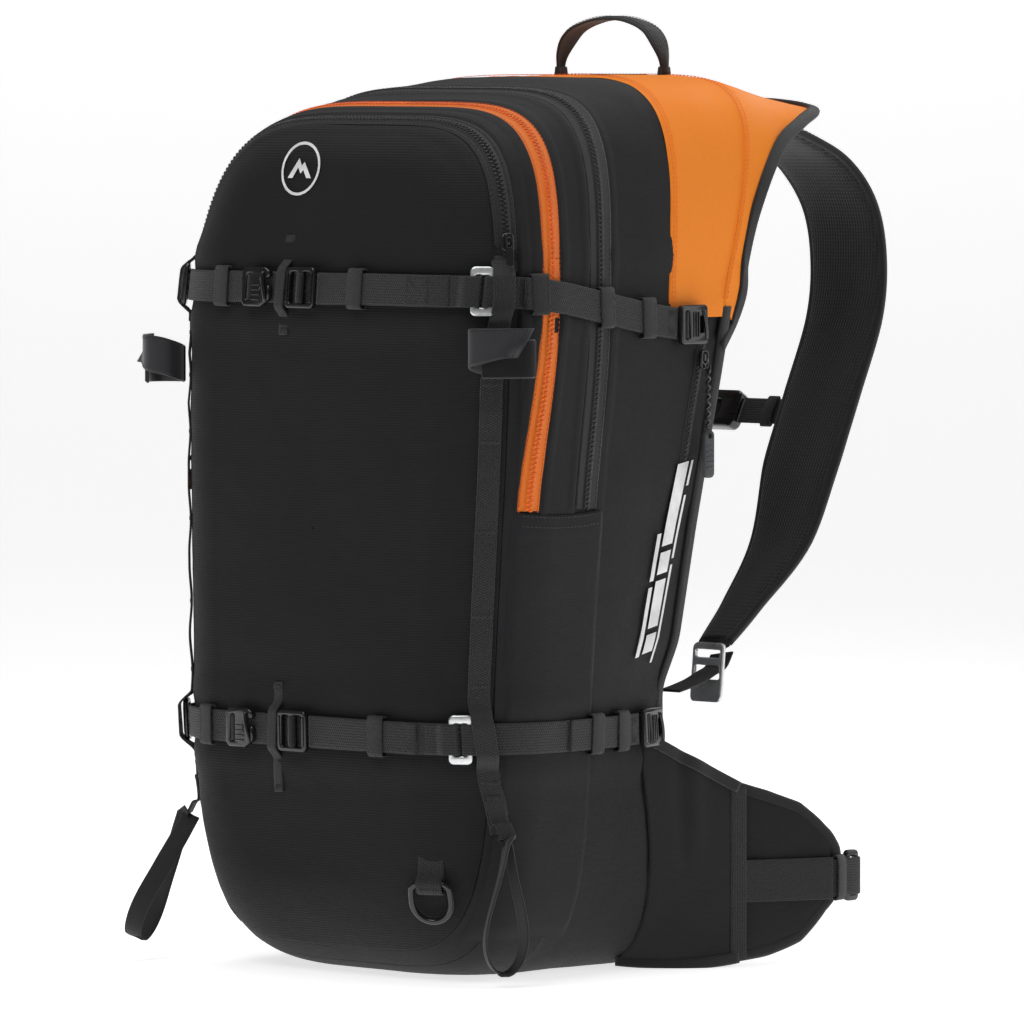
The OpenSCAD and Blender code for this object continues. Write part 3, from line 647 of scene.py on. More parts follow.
def plastic(name, col, rough=0.25, grain=0.15, scratch=0.3, coat=0.0, metal=0.0, spec=0.5):
    """Moulded plastic or metal: fine grain, faint flow lines and scratches."""
    g = Graph(name)
    c = g.coords()
    fine = g.noise(c, 1900, 3, 0.6)
    big = g.noise(c, 45, 4, 0.6)
    m = g.node("ShaderNodeMapping", None, Vector=c, Scale=(40, 260, 900)).outputs[0]
    lines = g.noise(m, 1.0, 4, 0.7)
    colour = g.mix(g.ramp(big, 0.35, 0.65), shade_of(col, 0.85), shade_of(col, 1.15))
    colour = g.mix(g.ramp(lines, 0.62, 0.72, 0, scratch), colour, shade_of(col, 1.7 if not metal else 0.7))
    g.set(Base_Color=colour, Metallic=metal, Specular_IOR_Level=spec)
    g.set(Roughness=g.op("ADD", g.ramp(big, 0.3, 0.7, rough * 0.8, rough * 1.2),
        g.ramp(lines, 0.55, 0.75, 0, 0.12)))
    if coat:
        g.set(Coat_Weight=coat, Coat_Roughness=0.12)
    g.bump(g.op("ADD", g.op("MULTIPLY", fine, grain), g.op("MULTIPLY", lines, 0.25)), 0.3, 0.12)
    return g.m


def mesh_cloth(name, col):
    """Spacer mesh: small round holes in staggered rows."""
    g = Graph(name)
    c = g.coords()
    x, _, z = g.xyz(c)
    w = g.op("MULTIPLY", g.sine(g.op("ADD", x, z), 4.48), g.sine(g.op("SUBTRACT", x, z), 4.48))
    hole = g.ramp(w, 0.15, 0.6)
    n = g.noise(c, 1500, 2)
    # painted shade: the holes are darkened to 0.25 of the colour and the threads between them lightened
    colour = g.mix(hole, shade_of(col, 1.5), shade_of(col, 0.25))
    colour = g.mix(g.ramp(n, 0.4, 0.8, 0, 0.3), colour, shade_of(col, 2.2))
    g.set(Base_Color=colour, Roughness=0.85, Sheen_Weight=0.3, Specular_IOR_Level=0.2)
    g.bump(g.op("SUBTRACT", g.op("MULTIPLY", n, 0.3), hole), 0.7, 0.6)
    return g.m


def tape_cloth(name, col, vary=0.3, deep=1.0, pitch=1.1, rough=0.7):
    """Narrow twill tape: diagonal ribs from UV."""
    g = Graph(name)
    c = g.coords(True)
    x, y = g.xyz(c)[:2]
    tw = g.sine(g.op("ADD", x, y), pitch)
    n = g.noise(c, 1200, 3, 0.6)
    # painted highlight and shade along the twill: lighter on the crests of tw and darker in its troughs
    colour = g.mix(g.ramp(tw, -1, 1), shade_of(col, 1 - vary), shade_of(col, 1 + vary))
    colour = g.mix(g.ramp(n, 0.45, 0.8, 0, 0.3), colour, shade_of(col, 1.6))
    g.set(Base_Color=colour, Roughness=rough, Sheen_Weight=0.2, Specular_IOR_Level=0.35)
    g.bump(g.op("MULTIPLY_ADD", tw, 0.5, n), 0.6 * deep, 0.3)
    return g.m


BLACK = (0.0095, 0.0095, 0.0105)
SOFT = (0.0135, 0.0135, 0.015)
WEB = (0.009, 0.009, 0.0098)
ORANGE = (1.0, 0.235, 0.012)

M = dict(
    front=fabric("front_cloth", BLACK, 0.74, rib=(1.7, 0.30), wrinkle=0.05, sheen=0.05, vary=0.12,
    spec=0.22),
    gusset=fabric("gusset_cloth", SOFT, 0.72, rib=(1.1, 0.16), wrinkle=0.08, sheen=0.06, vary=0.12,
    spec=0.22),
    side=fabric("side_cloth", SOFT, 0.72, rib=(1.1, 0.16), wrinkle=0.10, sheen=0.06, vary=0.12, spec=0.22),
    stretch=fabric("stretch_cloth", (0.014, 0.014, 0.0155), 0.78, weave=(1.3, 0.22), wrinkle=0.08,
    sheen=0.07, vary=0.15, spec=0.2),
    # orange cloth: its rib crests carry a yellower painted highlight
    orange=fabric("orange_cloth", ORANGE, 0.5, rib=(0.9, 0.10), wrinkle=0.16, sheen=0.02, vary=0.07,
    spec=0.2, highlight_tint=(1, 0.3, 0.03)),
    mesh=mesh_cloth("spacer_mesh", (0.02, 0.02, 0.022)),
    liner=fabric("liner_cloth", (0.03, 0.03, 0.033), 0.85, weave=(2.2, 0.35), sheen=0.3),
    web=webbing("strap_webbing", WEB),
    web_fine=webbing("fine_webbing", WEB, 1.1, 0.8),
    elastic=tape_cloth("elastic", (0.014, 0.014, 0.015), pitch=1.6, deep=1.4),
    binding=tape_cloth("binding", (0.010, 0.010, 0.011), pitch=0.9),
    tape=tape_cloth("zip_tape", (0.013, 0.013, 0.014), pitch=0.8),
    coil=plastic("zip_coil", (0.010, 0.010, 0.011), 0.35, coat=0.1),
    orange_tape=tape_cloth("orange_tape", (1.0, 0.20, 0.01), vary=0.12, pitch=0.8, rough=0.6),
    orange_coil=plastic("orange_coil", (0.95, 0.15, 0.01), 0.4),
    thread=fabric("thread", (0.028, 0.028, 0.030), 0.6, fine=0.6),
    thread_orange=fabric("thread_orange", (0.9, 0.14, 0.008), 0.6, fine=0.6),
    silver=plastic("silver_metal", (0.80, 0.81, 0.82), 0.32, metal=0.9, scratch=0.35),
    gloss=plastic("gloss_black", (0.010, 0.010, 0.011), 0.22, coat=0.35),
    rubber=plastic("grey_rubber", (0.055, 0.057, 0.060), 0.55, grain=0.5),
    smooth_black=fabric("coated_strap", (0.022, 0.022, 0.025), 0.5, fine=0.35, spec=0.4, vary=0.1),
    fuzz=fabric("loop_pile", (0.010, 0.010, 0.0105), 0.95, fine=1.6, sheen=0.12, vary=0.5),
    printed=plastic("white_print", (0.82, 0.82, 0.82), 0.5),
    red=plastic("red_plastic", (0.62, 0.02, 0.012), 0.4),
    frame_plastic=plastic("frame_plastic", (0.05, 0.055, 0.06), 0.5),
    steel=plastic("cartridge_metal", (0.60, 0.61, 0.63), 0.35, metal=1.0),
    brass=plastic("brass_metal", (0.70, 0.48, 0.20), 0.3, metal=1.0),
    airbag=fabric("airbag_nylon", (0.8, 0.12, 0.02), 0.5, weave=(0.9, 0.15), wrinkle=0.6),
)

INSIDE = (0.0, -95.0, 283.0)


# ---------- shell ----------
def relief(P, amp=1.0, seed=0):
    """Soft hollows and folds in stretched cloth, mostly running across."""
    q = ARR(P, float) * ARR([1.0, 1.0, 1.6])
    return amp * (0.9 * noise3(q, 70, seed) + 0.35 * noise3(q, 26, seed + 1)
        + 0.10 * noise3(q, 11, seed + 2))


def strap_press(P):
    """The cloth swells a little above and below each compression strap."""
    z = P[..., 2]
    out = 0
    for zs in (UPPER_Z, LOWER_Z):
        d = np.abs(z - zs)
        out = out + 1.5 * np.exp(-(((d - 21) / 9) ** 2)) - 0.2 * np.exp(-((d / 10) ** 2))
    return out


def pushed(P, amount, away=INSIDE):
    """Points moved along the surface's normal, away from an inside point."""
    du = np.gradient(P, axis=0)
    dv = np.gradient(P, axis=1)
    n = unit(np.cross(du, dv))
    s = np.sign((n * (P - ARR(away))).sum(-1, keepdims=True))
    return P + n * s * ARR(amount)[..., None]


def hem(t, edge, side):
    """Height of a folded hem whose edge is at depth edge, on the given side of it."""
    d = (t - edge) * side
    return np.where(d >= 0, 1.1 * smooth(d / 0.8 + 0.2) * (1 - 0.55 * smooth((d - 5) / 2.5)), 0)


def COVER_T(phi):
    """Depth of the orange cover's front edge."""
    return 163 + 38 * np.maximum(0, np.sin(phi)) ** 16


def zip_share(P):
    """1 where a U-shaped zip runs, and 0 below its ends."""
    return smooth((P[..., 2] - (ZIP_LOW - 8)) / 6)


# the front panel: its face and the rounded edge as far as the seam
NPHI = 420
PHI = np.linspace(0, 2 * math.pi, NPHI, endpoint=False)
qs = np.concatenate([[0.004], np.linspace(0.03, 0.97, 44), [0.99]])
ang = np.radians(np.concatenate([np.linspace(0, 44, 20), np.linspace(45.5, 55, 12)]))
rows = []
for q in qs:
    c, s = np.cos(PHI), np.sin(PHI)
    k = lump(c, s)
    z = MID + q * reach(0 * PHI, s > 0) * s / k
    rows.append(np.stack([q * (half_w(z) - R) * c / k, front_y(z) - CROWN * (1 - q * q) + 0 * z, z], -1))
ts = R * (1 - np.cos(ang))
for t in ts:
    rows.append(skin(t, PHI))
P = ARR(rows)
T = np.concatenate([qs * 0 - 5, ts])[:, None] + 0 * PHI
up = smooth((P[..., 2] - 438) / 10)
edge = R * (1 - math.cos(math.radians(48)))
h = relief(P, 0.9, 3) + strap_press(P)
h = h + up * (1.2 * smooth((edge - T) / 1.5) * (1 - 0.5 * smooth((edge - T - 5) / 3))
    - 0.2 * smooth((T - edge) / 1.0))
h = h * (1 - smooth((T - 23.5) / 2.0) * 0.7)
P = pushed(P, h)
lip = skin(R * (1 - math.cos(math.radians(55))), PHI, -2.2)[None]
front = grid("front_panel_cloth", np.concatenate([P, lip]), M["front"], loop_j=True, away=INSIDE)
piece(front, "pack", "shell_fabric", "front_panel")

# gussets and body between the zips
def gusset(name, node, t0, t1, nt, mat, seed, lower_hem, upper_hem, amp=0.9, covered=False):
    share = np.unique(np.concatenate([np.linspace(0, 1, nt), np.linspace(0, 0.12, 5),
        np.linspace(0.88, 1, 5)]))
    t0, t_end = (f(PHI) if callable(f) else f + 0 * PHI for f in (t0, t1))
    T = t0 + (t_end[None] - t0) * share[:, None]
    P = skin(T, PHI[None] + 0 * T)
    h = relief(P, amp, seed) + strap_press(P)
    z = zip_share(P)
    for e, side, leaning in lower_hem + upper_hem:
        e = e + leaning * lean(P[..., 2])
        h = h + z * hem(T, e, side)
        inside = (T - e) * side < 0
        h = np.where(inside & (z > 0.5), h * 0.3 - 0.2, h)
    ends = 1 - smooth((np.abs(share - 0.5) - 0.47) / 0.03)[:, None] * 0.8
    if covered:
        under = smooth((T - COVER_T(PHI) - 2) / 3) * (np.sin(PHI) > 0.38)
        h = h * (1 - under) - 1.5 * under
    P = pushed(P, h * ends)
    lip0 = skin(t0 + 0.05, PHI, -2.2)[None]
    lip1 = skin(t_end - 0.05, PHI, -2.2)[None]
    ob = grid(name, np.concatenate([lip0, P, lip1]), mat, loop_j=True, away=INSIDE)
    return piece(ob, "pack", "shell_fabric", node)


def orange_edge(phi, add=0.0):
    return ORANGE_T + lean(skin(ORANGE_T, phi)[..., 2]) + add


def rear_edge(phi, add=0.0):
    return REAR_T + 0.6 * lean(skin(REAR_T, phi)[..., 2]) + add


gusset("front_gusset_cloth", "front_gusset", SEAM_T + 0.3, orange_edge, 26, M["gusset"], 5,
       [(R * (1 - math.cos(math.radians(62))), 1, 0)], [(ORANGE_T - 7.2, -1, 1)], 0.5)
gusset("middle_gusset_cloth", "middle_gusset", lambda p: orange_edge(p, 0.3), rear_edge, 30, M["gusset"], 8,
       [(ORANGE_T + 7.2, 1, 1)], [(REAR_T - 10, -1, 0.6)], 0.6)
gusset("body_cloth", "main_shell", lambda p: rear_edge(p, 0.3), edge_t, 56, M["side"], 11,
    [(REAR_T + 10, 1, 0.6)], [], 1.2, covered=True)

# lower side panels, a second layer of cloth with a stitched top hem
for side, tag in ((1, "right"), (-1, "left")):
    tt = np.concatenate([np.linspace(30, 34, 5), np.linspace(35, 100, 40), np.linspace(101, 106, 5)])
    zz = np.concatenate([np.linspace(26, 40, 6), np.linspace(44, 284, 90), np.linspace(285, 294, 12)])
    Z, T = np.meshgrid(zz, tt, indexing="ij")
    Z = Z + 2.5 * smooth((Z - 200) / 90) * ((T - 68) / 38) ** 2
    P = at_height(T, Z, side)
    fade = smooth((T - 29) / 6) * smooth((107 - T) / 6) * smooth((Z - 24) / 14)
    top = smooth((Z - 279.5) / 1.0) * (1 - smooth((Z - 293) / 3))
    h = 1.5 * fade + 0.7 * top * fade + relief(P, 1.0, 14 + side) * (1
        - 0.6 * top) * fade + strap_press(P) * fade + 0.15
    P = pushed(P, h)
    low = at_height(T[-1:], Z[-1:], side, 0.3)
    ob = grid(f"side_panel_{tag}", np.concatenate([P, low]), M["side"], away=INSIDE)
    piece(ob, "pack", "shell_fabric", "side_panels")
    for dz, off in ((-8.0, 2.4), (-1.6, 2.5)):
        path = at_height(tt[6:-6], 294 + dz + 2.5 * ((tt[6:-6] - 68) / 38) ** 2, side, off)
        n = unit(path - ARR([0, -95, 290.0]))
        piece(stitches(f"side_hem_stitch_{tag}_{int(-dz)}", path, n, M["thread"], 3.0, 2.1, 0.28), "pack",
            "shell_fabric")

# back panel: foam channels under spacer mesh
def back_point(q, phi, out):
    z0 = edge_z(phi)
    e = skin(edge_t(phi), phi)
    z = MID + (z0 - MID) * q
    return np.stack([e[..., 0] * q, back_y(z) + out, z], -1)


qs = np.concatenate([[0.004], np.linspace(0.03, 0.86, 60), np.linspace(0.87, 1.0, 22)])
Q, F = np.meshgrid(qs, np.linspace(0, 2 * math.pi, 360, endpoint=False), indexing="ij")
base = back_point(Q, F, 0)
x, z = base[..., 0], base[..., 2]
rim_d = (1 - Q) * 150
foam = 2.0 + 10.0 * smooth((rim_d - 10) / 12)
mid_channel = np.exp(-((x / 11) ** 2)) * smooth((z - 150) / 20) * (1 - smooth((z - 500) / 20))
cross_a = np.exp(-(((z - 250 - 10 * np.abs(x) / 100) / 5) ** 2)) * (np.abs(x) > 14)
cross_b = np.exp(-(((z - 350 - 10 * np.abs(x) / 100) / 5) ** 2)) * (np.abs(x) > 14)
cross_c = np.exp(-(((z - 150) / 5) ** 2))
foam = foam - smooth((rim_d - 12) / 14) * np.maximum.reduce([7.0 * mid_channel, 4.5 * cross_a,
    4.5 * cross_b, 4.5 * cross_c])
foam = foam + relief(base, 0.6, 21) * smooth(rim_d / 20)
P = base.copy()
P[..., 1] += foam
back = grid("back_padding", P, M["mesh"], loop_j=True, away=(0, -95, 283))
piece(back, "pack", "padding", "back_panel", fill=0.7)
for k, xx in enumerate((-17.0, 17.0)):
    zz = np.linspace(165, 485, 120)
    path = np.stack([xx + 0 * zz, back_y(zz) + 10.2, zz], -1)
    piece(stitches(f"back_channel_stitch_{k}", path, (0, 1, 0), M["thread"], 3.4, 2.4), "pack", "padding")

# lumbar pad
zz = np.concatenate([[33.2, 34, 35.5], np.linspace(38, 128, 40), [130.5, 132, 132.8]])
e = np.sqrt(np.maximum(0.02, 1 - np.clip(np.abs(zz - 83) / 50.5, 0, 1) ** 4))
edge = np.clip(smooth((zz - 32.5) / 9) * smooth((133.5 - zz) / 9), 0.06, 1) ** 0.5
sec = np.linspace(-1, 1, 60)
prof = np.clip(1 - np.abs(sec) ** 7, 0, 1) ** 0.4
front_rows, back_rows = [], []
for zi, ei, gi in zip(zz, e, edge):
    y = float(back_y(zi)) + 14.8
    split = 1 - 0.55 * np.exp(-((sec * 90 / 10) ** 2))
    back_rows.append(np.stack([sec * 90 * ei, y + 0.4 + 11.2 * gi * prof * split, zi + 0 * sec], -1))
    front_rows.append(np.stack([sec[::-1] * 90 * ei, y + 0 * sec, zi + 0 * sec], -1))
P = np.concatenate([ARR(back_rows), ARR(front_rows)], 1)
P[..., 1] += 0.5 * noise3(P, 24, 33) * (P[..., 1] > back_y(P[..., 2]) + 16)
lumbar = grid("lumbar_cushion", P, M["mesh"], loop_j=True, caps=True)
piece(lumbar, "pack", "padding", "lumbar_pad", fill=0.7)


# ---------- zips ----------
def zip_path(t, low, leaning=0.0):
    """Points at depth t over the top of the shell, down to height low on both sides."""
    start = math.radians(43)

    def at(dt, out):
        z0 = float(skin(t, start)[2])
        zz = np.linspace(low, z0 - 1.5, 60)
        foot = at_height(t + dt + leaning * lean(zz), zz, 1, out)
        arch = skin(t + dt, np.linspace(start, math.pi - start, 240), out)
        return np.concatenate([foot, arch, foot[::-1] * ARR([-1.0, 1, 1])])

    return at


def make_zip(name, at, half, tape_mat, coil_mat, body, slot, node, spread=1.0, tooth=2.7):
    """A zip along at(offset, height): its tape, two rows of teeth and two rows of stitches."""
    mid, side_p = at(0, 0.6), at(half, 0.6)
    out_p = at(0, 1.6)
    W = unit(side_p - mid)
    N = unit(out_p - mid)
    cols = np.concatenate([np.linspace(-half, -2.6, 5), [-2.4, -0.7, -0.35, 0.35, 0.7, 2.4],
        np.linspace(2.6, half, 5)])
    high = {-2.4: 1.0, 2.4: 1.0, -0.7: 1.25, 0.7: 1.25, -0.35: 0.75, 0.35: 0.75}
    sheets = ARR([at(c, 0.7 + 0.45 * high.get(round(float(c), 2), 0.0)) for c in cols]).transpose(1, 0, 2)
    under = ARR([at(c, 0.05) for c in (half, -half)]).transpose(1, 0, 2)
    tape = grid(name + "_tape", np.concatenate([sheets, under], 1), tape_mat, loop_j=True, caps=True)
    piece(tape, body, slot, node)
    # two rows of coil teeth, meeting in the middle
    mid = at(0, 1.45)
    C = resample(mid, 1.5)
    s = np.concatenate([[0], np.cumsum(np.linalg.norm(np.diff(mid, axis=0), axis=-1))])
    q = np.linspace(0, s[-1], len(C))
    Wc = unit(np.stack([np.interp(q, s, W[:, k]) for k in range(3)], -1))
    Tc = tangents(C)
    Wc = unit(Wc - Tc * (Wc * Tc).sum(-1, keepdims=True))
    Nc = np.cross(Tc, Wc)
    Nref = np.stack([np.interp(q, s, N[:, k]) for k in range(3)], -1)
    Nc = Nc * np.sign((Nc * Nref).sum(-1, keepdims=True))
    k = np.where(np.arange(len(C)) % 2 == 0, 1.0, -1.0)[:, None]
    tv, tf = capsule(tooth, 0.55, 1.0)
    pos = C + Wc * k * 1.15 * spread
    D = unit(Wc + Tc * 0.12 * k)
    teeth = scatter(name + "_teeth", tv, tf, pos, D, unit(np.cross(Nc, D)), Nc, coil_mat)
    piece(teeth, body, slot)
    for dt in (-half + 1.4, half - 1.4):
        p = at(dt, 1.0)
        st = stitches(name + f"_stitch_{'a' if dt < 0 else 'b'}", p, N,
            M["thread_orange"] if "orange" in name else M["thread"], 3.2, 2.3, 0.26)
        piece(st, body, slot)


d48 = R * (1 - math.cos(math.radians(48)))
d62 = R * (1 - math.cos(math.radians(62)))
tz = R * (1 - math.cos(math.radians(55)))
make_zip("zip_front", zip_path(tz, 446, 30), (d62 - d48) / 2 * 0.93, M["tape"], M["coil"], "pack",
    "zip_tape", "zip_front")
make_zip("zip_orange", zip_path(ORANGE_T, 297, 1.0), 7.6, M["orange_tape"], M["orange_coil"], "pack",
    "orange_zip_tape", "zip_orange")
make_zip("zip_rear", zip_path(REAR_T, 297, 0.6), 10.2, M["tape"], M["coil"], "pack", "zip_tape", "zip_rear")


def side_zip_at(dt, out):
    z = np.linspace(297, 401, 60)
    return at_height(back_t(z) - 23.5 + dt, z, 1, out)


make_zip("zip_side", side_zip_at, 4.2, M["tape"], M["coil"], "pack", "zip_tape", "zip_side", 0.7, 2.0)


def slider(name, F, body, node, mat, pull=True):
    """A zip slider: its body, bridge and pull tab."""
    o, x, y, z = F
    a = plate(name + "_body", rounded(8, 12, 3), [], 2.6, F, mat, 0.9, 0.2)
    obs = [a]
    o2 = o + y * 1.5
    hoop = [o2 + y * b + z * c for b, c in ((-3.2, 2.6), (-3.0, 3.9), (-1.5, 4.6), (1.0, 4.6), (2.6, 3.9),
        (2.8, 2.6))]
    obs.append(tube(name + "_bridge", hood(hoop, 4), 0.75, mat, k=8))
    if pull:
        obs.append(plate(name + "_pull", rounded(5, 22, 2, cy=-6), [rounded(2.4, 6, 1, cy=-1)], 1.4,
            (o + z * 0.2, x, y, z), mat, 0.5, 4.9))
    return piece(join(name + "_slider", obs), body, "black_hardware", node)


def z_frame(p, out_dir):
    """A frame at p that faces out_dir, with its y axis upwards."""
    out_dir = unit(ARR(out_dir, float))
    y = ARR([0.0, 0, 1])
    y = unit(y - out_dir * np.dot(y, out_dir))
    return ARR(p, float), np.cross(y, out_dir), y, out_dir


a55 = math.radians(55)
slider("front_zip", z_frame(at_height(SEAM_T, 464, 1, 3.8), (math.sin(a55), -math.cos(a55), 0.25)),
    "front_slider", "slider_front", M["gloss"])
slider("orange_zip", z_frame(at_height(ORANGE_T + lean(318), 318, -1, 3.3), (-1, -0.17, 0)),
    "orange_slider", "slider_orange", M["gloss"])
slider("rear_zip", z_frame(at_height(REAR_T + 0.6 * lean(318), 318, -1, 3.0), (-1, 0, 0)), "rear_slider",
    "slider_rear", M["gloss"])
side_pt = at_height(back_t(388.0) - 23.5, 388.0, 1, 3.0)
SF = z_frame(side_pt, (1, 0.035, 0.0))
slider("side_zip", SF, "side_slider", "slider_side", M["gloss"], pull=False)
o, x, y, z = SF
# a shiny cord from the slider to a moulded grip
twist = []
for i in range(61):
    s = i / 60
    twist.append(o + y * (-6 - 38 * s) + z * (5.1 + 0.8 * math.cos(s * 44)) + x * 1.3 * math.sin(s * 44))
cordp = tube("side_pull_cord", ARR(twist), 0.9, M["gloss"], k=8)
loopc = [o + y * (-6 + 2.6 * math.sin(a)) + z * (5.2 + 1.4 * math.cos(a))
    for a in np.linspace(0, 2 * math.pi, 14, endpoint=False)]
ring = tube("side_pull_ring", ARR(loopc), 0.8, M["gloss"], loop=True, k=6)
grip = plate("side_pull_grip", rounded(9, 30, 3.2, cy=-60), [rounded(4, 3, 1.2, cy=-48)], 3.6, (o, x, y, z),
    M["rubber"], 1.2, 3.4)
ribs = [plate(f"side_pull_rib_{i}", rounded(6.4, 1.2, 0.5, cy=-55 - 3.4 * i), [], 0.8, (o, x, y, z),
    M["rubber"], 0.3, 6.8) for i in range(5)]
piece(join("side_pull_tab", [cordp, ring, grip] + ribs), "side_pull", "grey_rubber", "pull_side")

# ---------- compression straps ----------
def strap_band(name, u0, u1, zf, out, mat, w=20.0, th=1.6, n=None, seed=0, nodes=()):
    """Webbing laid round the pack from u0 to u1 at height zf(u), with its inner face at out."""
    n = n or max(12, int(abs(u1 - u0) / 2.2))
    u = np.linspace(u0, u1, n)
    o = np.broadcast_to(out(u) if callable(out) else out, u.shape)
    dz = 0.35 * noise3(np.stack([u, 0 * u, 0 * u], -1), 45, seed)
    C = wrap(u, zf(u) + dz, o + th / 2)
    up = wrap(u, zf(u) + dz + 8, o + th / 2) - wrap(u, zf(u) + dz - 8, o + th / 2)
    T = tangents(C)
    S = unit(up - T * (up * T).sum(-1, keepdims=True))
    return piece(sweep(name, C, S, web_profile(w, th, 7), mat, N=np.cross(S, T) * -1), "pack", "webbing",
        *nodes)


def keeper(name, u, zf, out, w):
    """An elastic loop round the strap at u."""
    F = band_frame(u, float(zf(u)), 0.0)
    o, x, y, z = F
    lo, hi = 1.2, out
    prof = rrect(25.0, hi - lo, min(1.6, (hi - lo) / 2.2), 4)
    C = ARR([o + y * p[0] + z * ((lo + hi) / 2 + p[1]) for p in prof])
    C = resample(C, 1.5, True)
    ob = sweep(name, C, x, rrect(w, 1.0, 0.45, 2), M["elastic"], loop=True)
    return piece(ob, "pack", "webbing")


strap_band("upper_strap", -312, 312, upper_z, 2.5, M["web"], seed=1, nodes=("compression_strap_upper",))
strap_band("lower_strap", -292, 292, lower_z, 2.5, M["web"], seed=2, nodes=("compression_strap_lower",))
# second layers where the webbing is doubled back
strap_band("upper_double_front", 4, 112, upper_z, 4.25, M["web"], seed=3)
strap_band("upper_double_side", 156, 290, upper_z, 4.25, M["web"], seed=4)
strap_band("lower_double_front", 4, 94, lower_z, 4.25, M["web"], seed=5)
strap_band("lower_double_side", 196, 270, lower_z, 4.25, M["web"], seed=6)

first = True
for zf, tag, us in ((upper_z, "upper", (-84, 38, 166, 222, 262)), (lower_z, "lower", (-92, 62, 222, 250))):
    for i, u in enumerate(us):
        top = 6.6 if u > 0 and u != 166 else 5.6
        k = keeper(f"keeper_{tag}_{i}", u, zf, top, 12.5)
        if first:
            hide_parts("strap_keepers")
            first = False
        F = band_frame(u, float(zf(u)), top + 0.5)
        o, x, y, z = F
        for s in (-1, 1):
            line = ARR([o + x * s * 5.0 + y * 9.5, o + x * s * 5.0 - y * 9.5])
            piece(stitches(f"keeper_edge_{tag}_{i}_{'a' if s < 0 else 'b'}", line, z, M["thread"], 2.2, 1.6,
                0.2), "pack", "webbing")
for zf, tag, u in ((upper_z, "upper", 90), (lower_z, "lower", 82)):
    F = band_frame(u, float(zf(u)), 5.9)
    b = box_stitch(f"box_stitch_{tag}", F, 17, 15, M["thread"])
    piece(b, "pack", "webbing")
for zf, tag, u in ((upper_z, "upper", 284), (lower_z, "lower", 264)):
    for side in (1, -1):
        F = band_frame(u * side, float(zf(u)), 5.9 if side > 0 else 4.25)
        piece(zigzag(f"bartack_{tag}_{'r' if side > 0 else 'l'}", F, 5, 16, M["thread"], 12), "pack",
            "webbing")

# upright loops of narrow webbing beside the hooks
for z0, tag, hi, lo in ((UPPER_Z, "upper", 33, -30), (LOWER_Z, "lower", 30, -40)):
    zz = np.linspace(z0 + hi, z0 + lo, 60)
    d = np.abs(zz - z0)
    out = 0.9 + 5.6 * (1 - smooth((d - 11) / 8))
    C = on_face(-28 + 0.9 * np.sin((zz - z0) / 14), zz, out)
    ob = sweep(f"upright_loop_{tag}", C, (1, 0, 0), web_profile(8, 1.1, 4), M["web_fine"])
    piece(ob, "pack", "webbing")
    for dz in (hi - 3, lo + 3):
        p = on_face(-28, z0 + dz, 1.7)
        F = (p, ARR([1.0, 0, 0]), ARR([0, 0, 1.0]), ARR([0, -1.0, 0]))
        piece(zigzag(f"loop_bartack_{tag}_{'a' if dz > 0 else 'b'}", F, 6.4, 3.4, M["thread"], 10), "pack",
            "webbing")

# ---------- buckles ----------
def ladder(F, name):
    """A ladder-lock frame with the ribbed roll that the webbing turns round."""
    a = plate(name, rounded(25, 26, 3.2), [rounded(7, 20, 1.6, cx=-5.5), rounded(7, 20, 1.6, cx=5.5)], 4.0,
        F, M["gloss"], 1.0)
    o, x, y, z = F
    bits = [a]
    roll = ARR([o + x * 0.2 + y * s + z * 3.6 for s in np.linspace(-9.4, 9.4, 8)])
    bits.append(tube(name + "_roll", roll, 2.4, M["web_fine"], k=14))
    for s in (-1, 1):
        bits.append(plate(name + f"_rib_{s}", rounded(1.6, 19, 0.7, cx=10.6 * s), [], 1.2, F, M["gloss"],
            0.4, 3.7))
    return bits


def hook(F, name):
    """A hook buckle: a webbing bar on the left and an open hook with a ribbed latch on the right."""
    a = plate(name, [(-12.5, -9.5), (-9.5, -12.5), (5, -12.5), (12.5, -8), (12.5, 1.0), (9.5, 1.2),
        (8.6, -1.2), (4.6, -1.4), (4.6, 5.0), (9.8, 5.4), (12.5, 7.0), (12.0, 10.5), (7.5, 12.5),
        (-9.5, 12.5), (-12.5, 9.5)],
              [rounded(4.2, 17, 1.6, cx=-6)], 4.0, F, M["gloss"], 1.0)
    o, x, y, z = F
    bits = [a]
    arc = [o + x * (8.8 + 1.6 * math.cos(q)) + y * (-9 + 18.5 * s) + z * (4.0 + 1.3 * math.sin(q)) for s,
        q in zip(np.linspace(0, 1, 16), np.linspace(0.2, 2.7, 16))]
    bits.append(tube(name + "_lip", ARR(arc), 1.3, M["gloss"], k=10))
    for i in range(4):
        bits.append(plate(name + f"_grip_{i}", rounded(7.5, 1.1, 0.5, cx=1.2, cy=-8 + 3.1 * i), [], 1.0, F,
            M["gloss"], 0.35, 3.8))
    roll = ARR([o + x * -6.0 + y * s + z * 2.2 for s in np.linspace(-8.2, 8.2, 6)])
    bits.append(tube(name + "_roll", roll, 1.9, M["web_fine"], k=12))
    return bits


H = 4.6
piece(join("buckle_frames_detail", ladder(band_frame(-9, UPPER_Z, H), "frame_up")
    + ladder(band_frame(-9, LOWER_Z, H), "frame_low")),
      "pack", "black_hardware", "buckle_frames")
piece(join("hook_upper_detail", hook(band_frame(-49, UPPER_Z, H), "hook_up")), "hook_upper",
    "black_hardware", "hook_buckle_upper")
piece(join("hook_lower_detail", hook(band_frame(-57, LOWER_Z, H), "hook_low")), "hook_lower",
    "black_hardware", "hook_buckle_lower")


def slide_frame(F, name, mat, w=15.0, h=31.0, hole=(9.0, 20.0)):
    return plate(name, rounded(w, h, 3.4, 8), [rounded(hole[0], hole[1], 1.8)], 3.0, F, mat, 1.1)


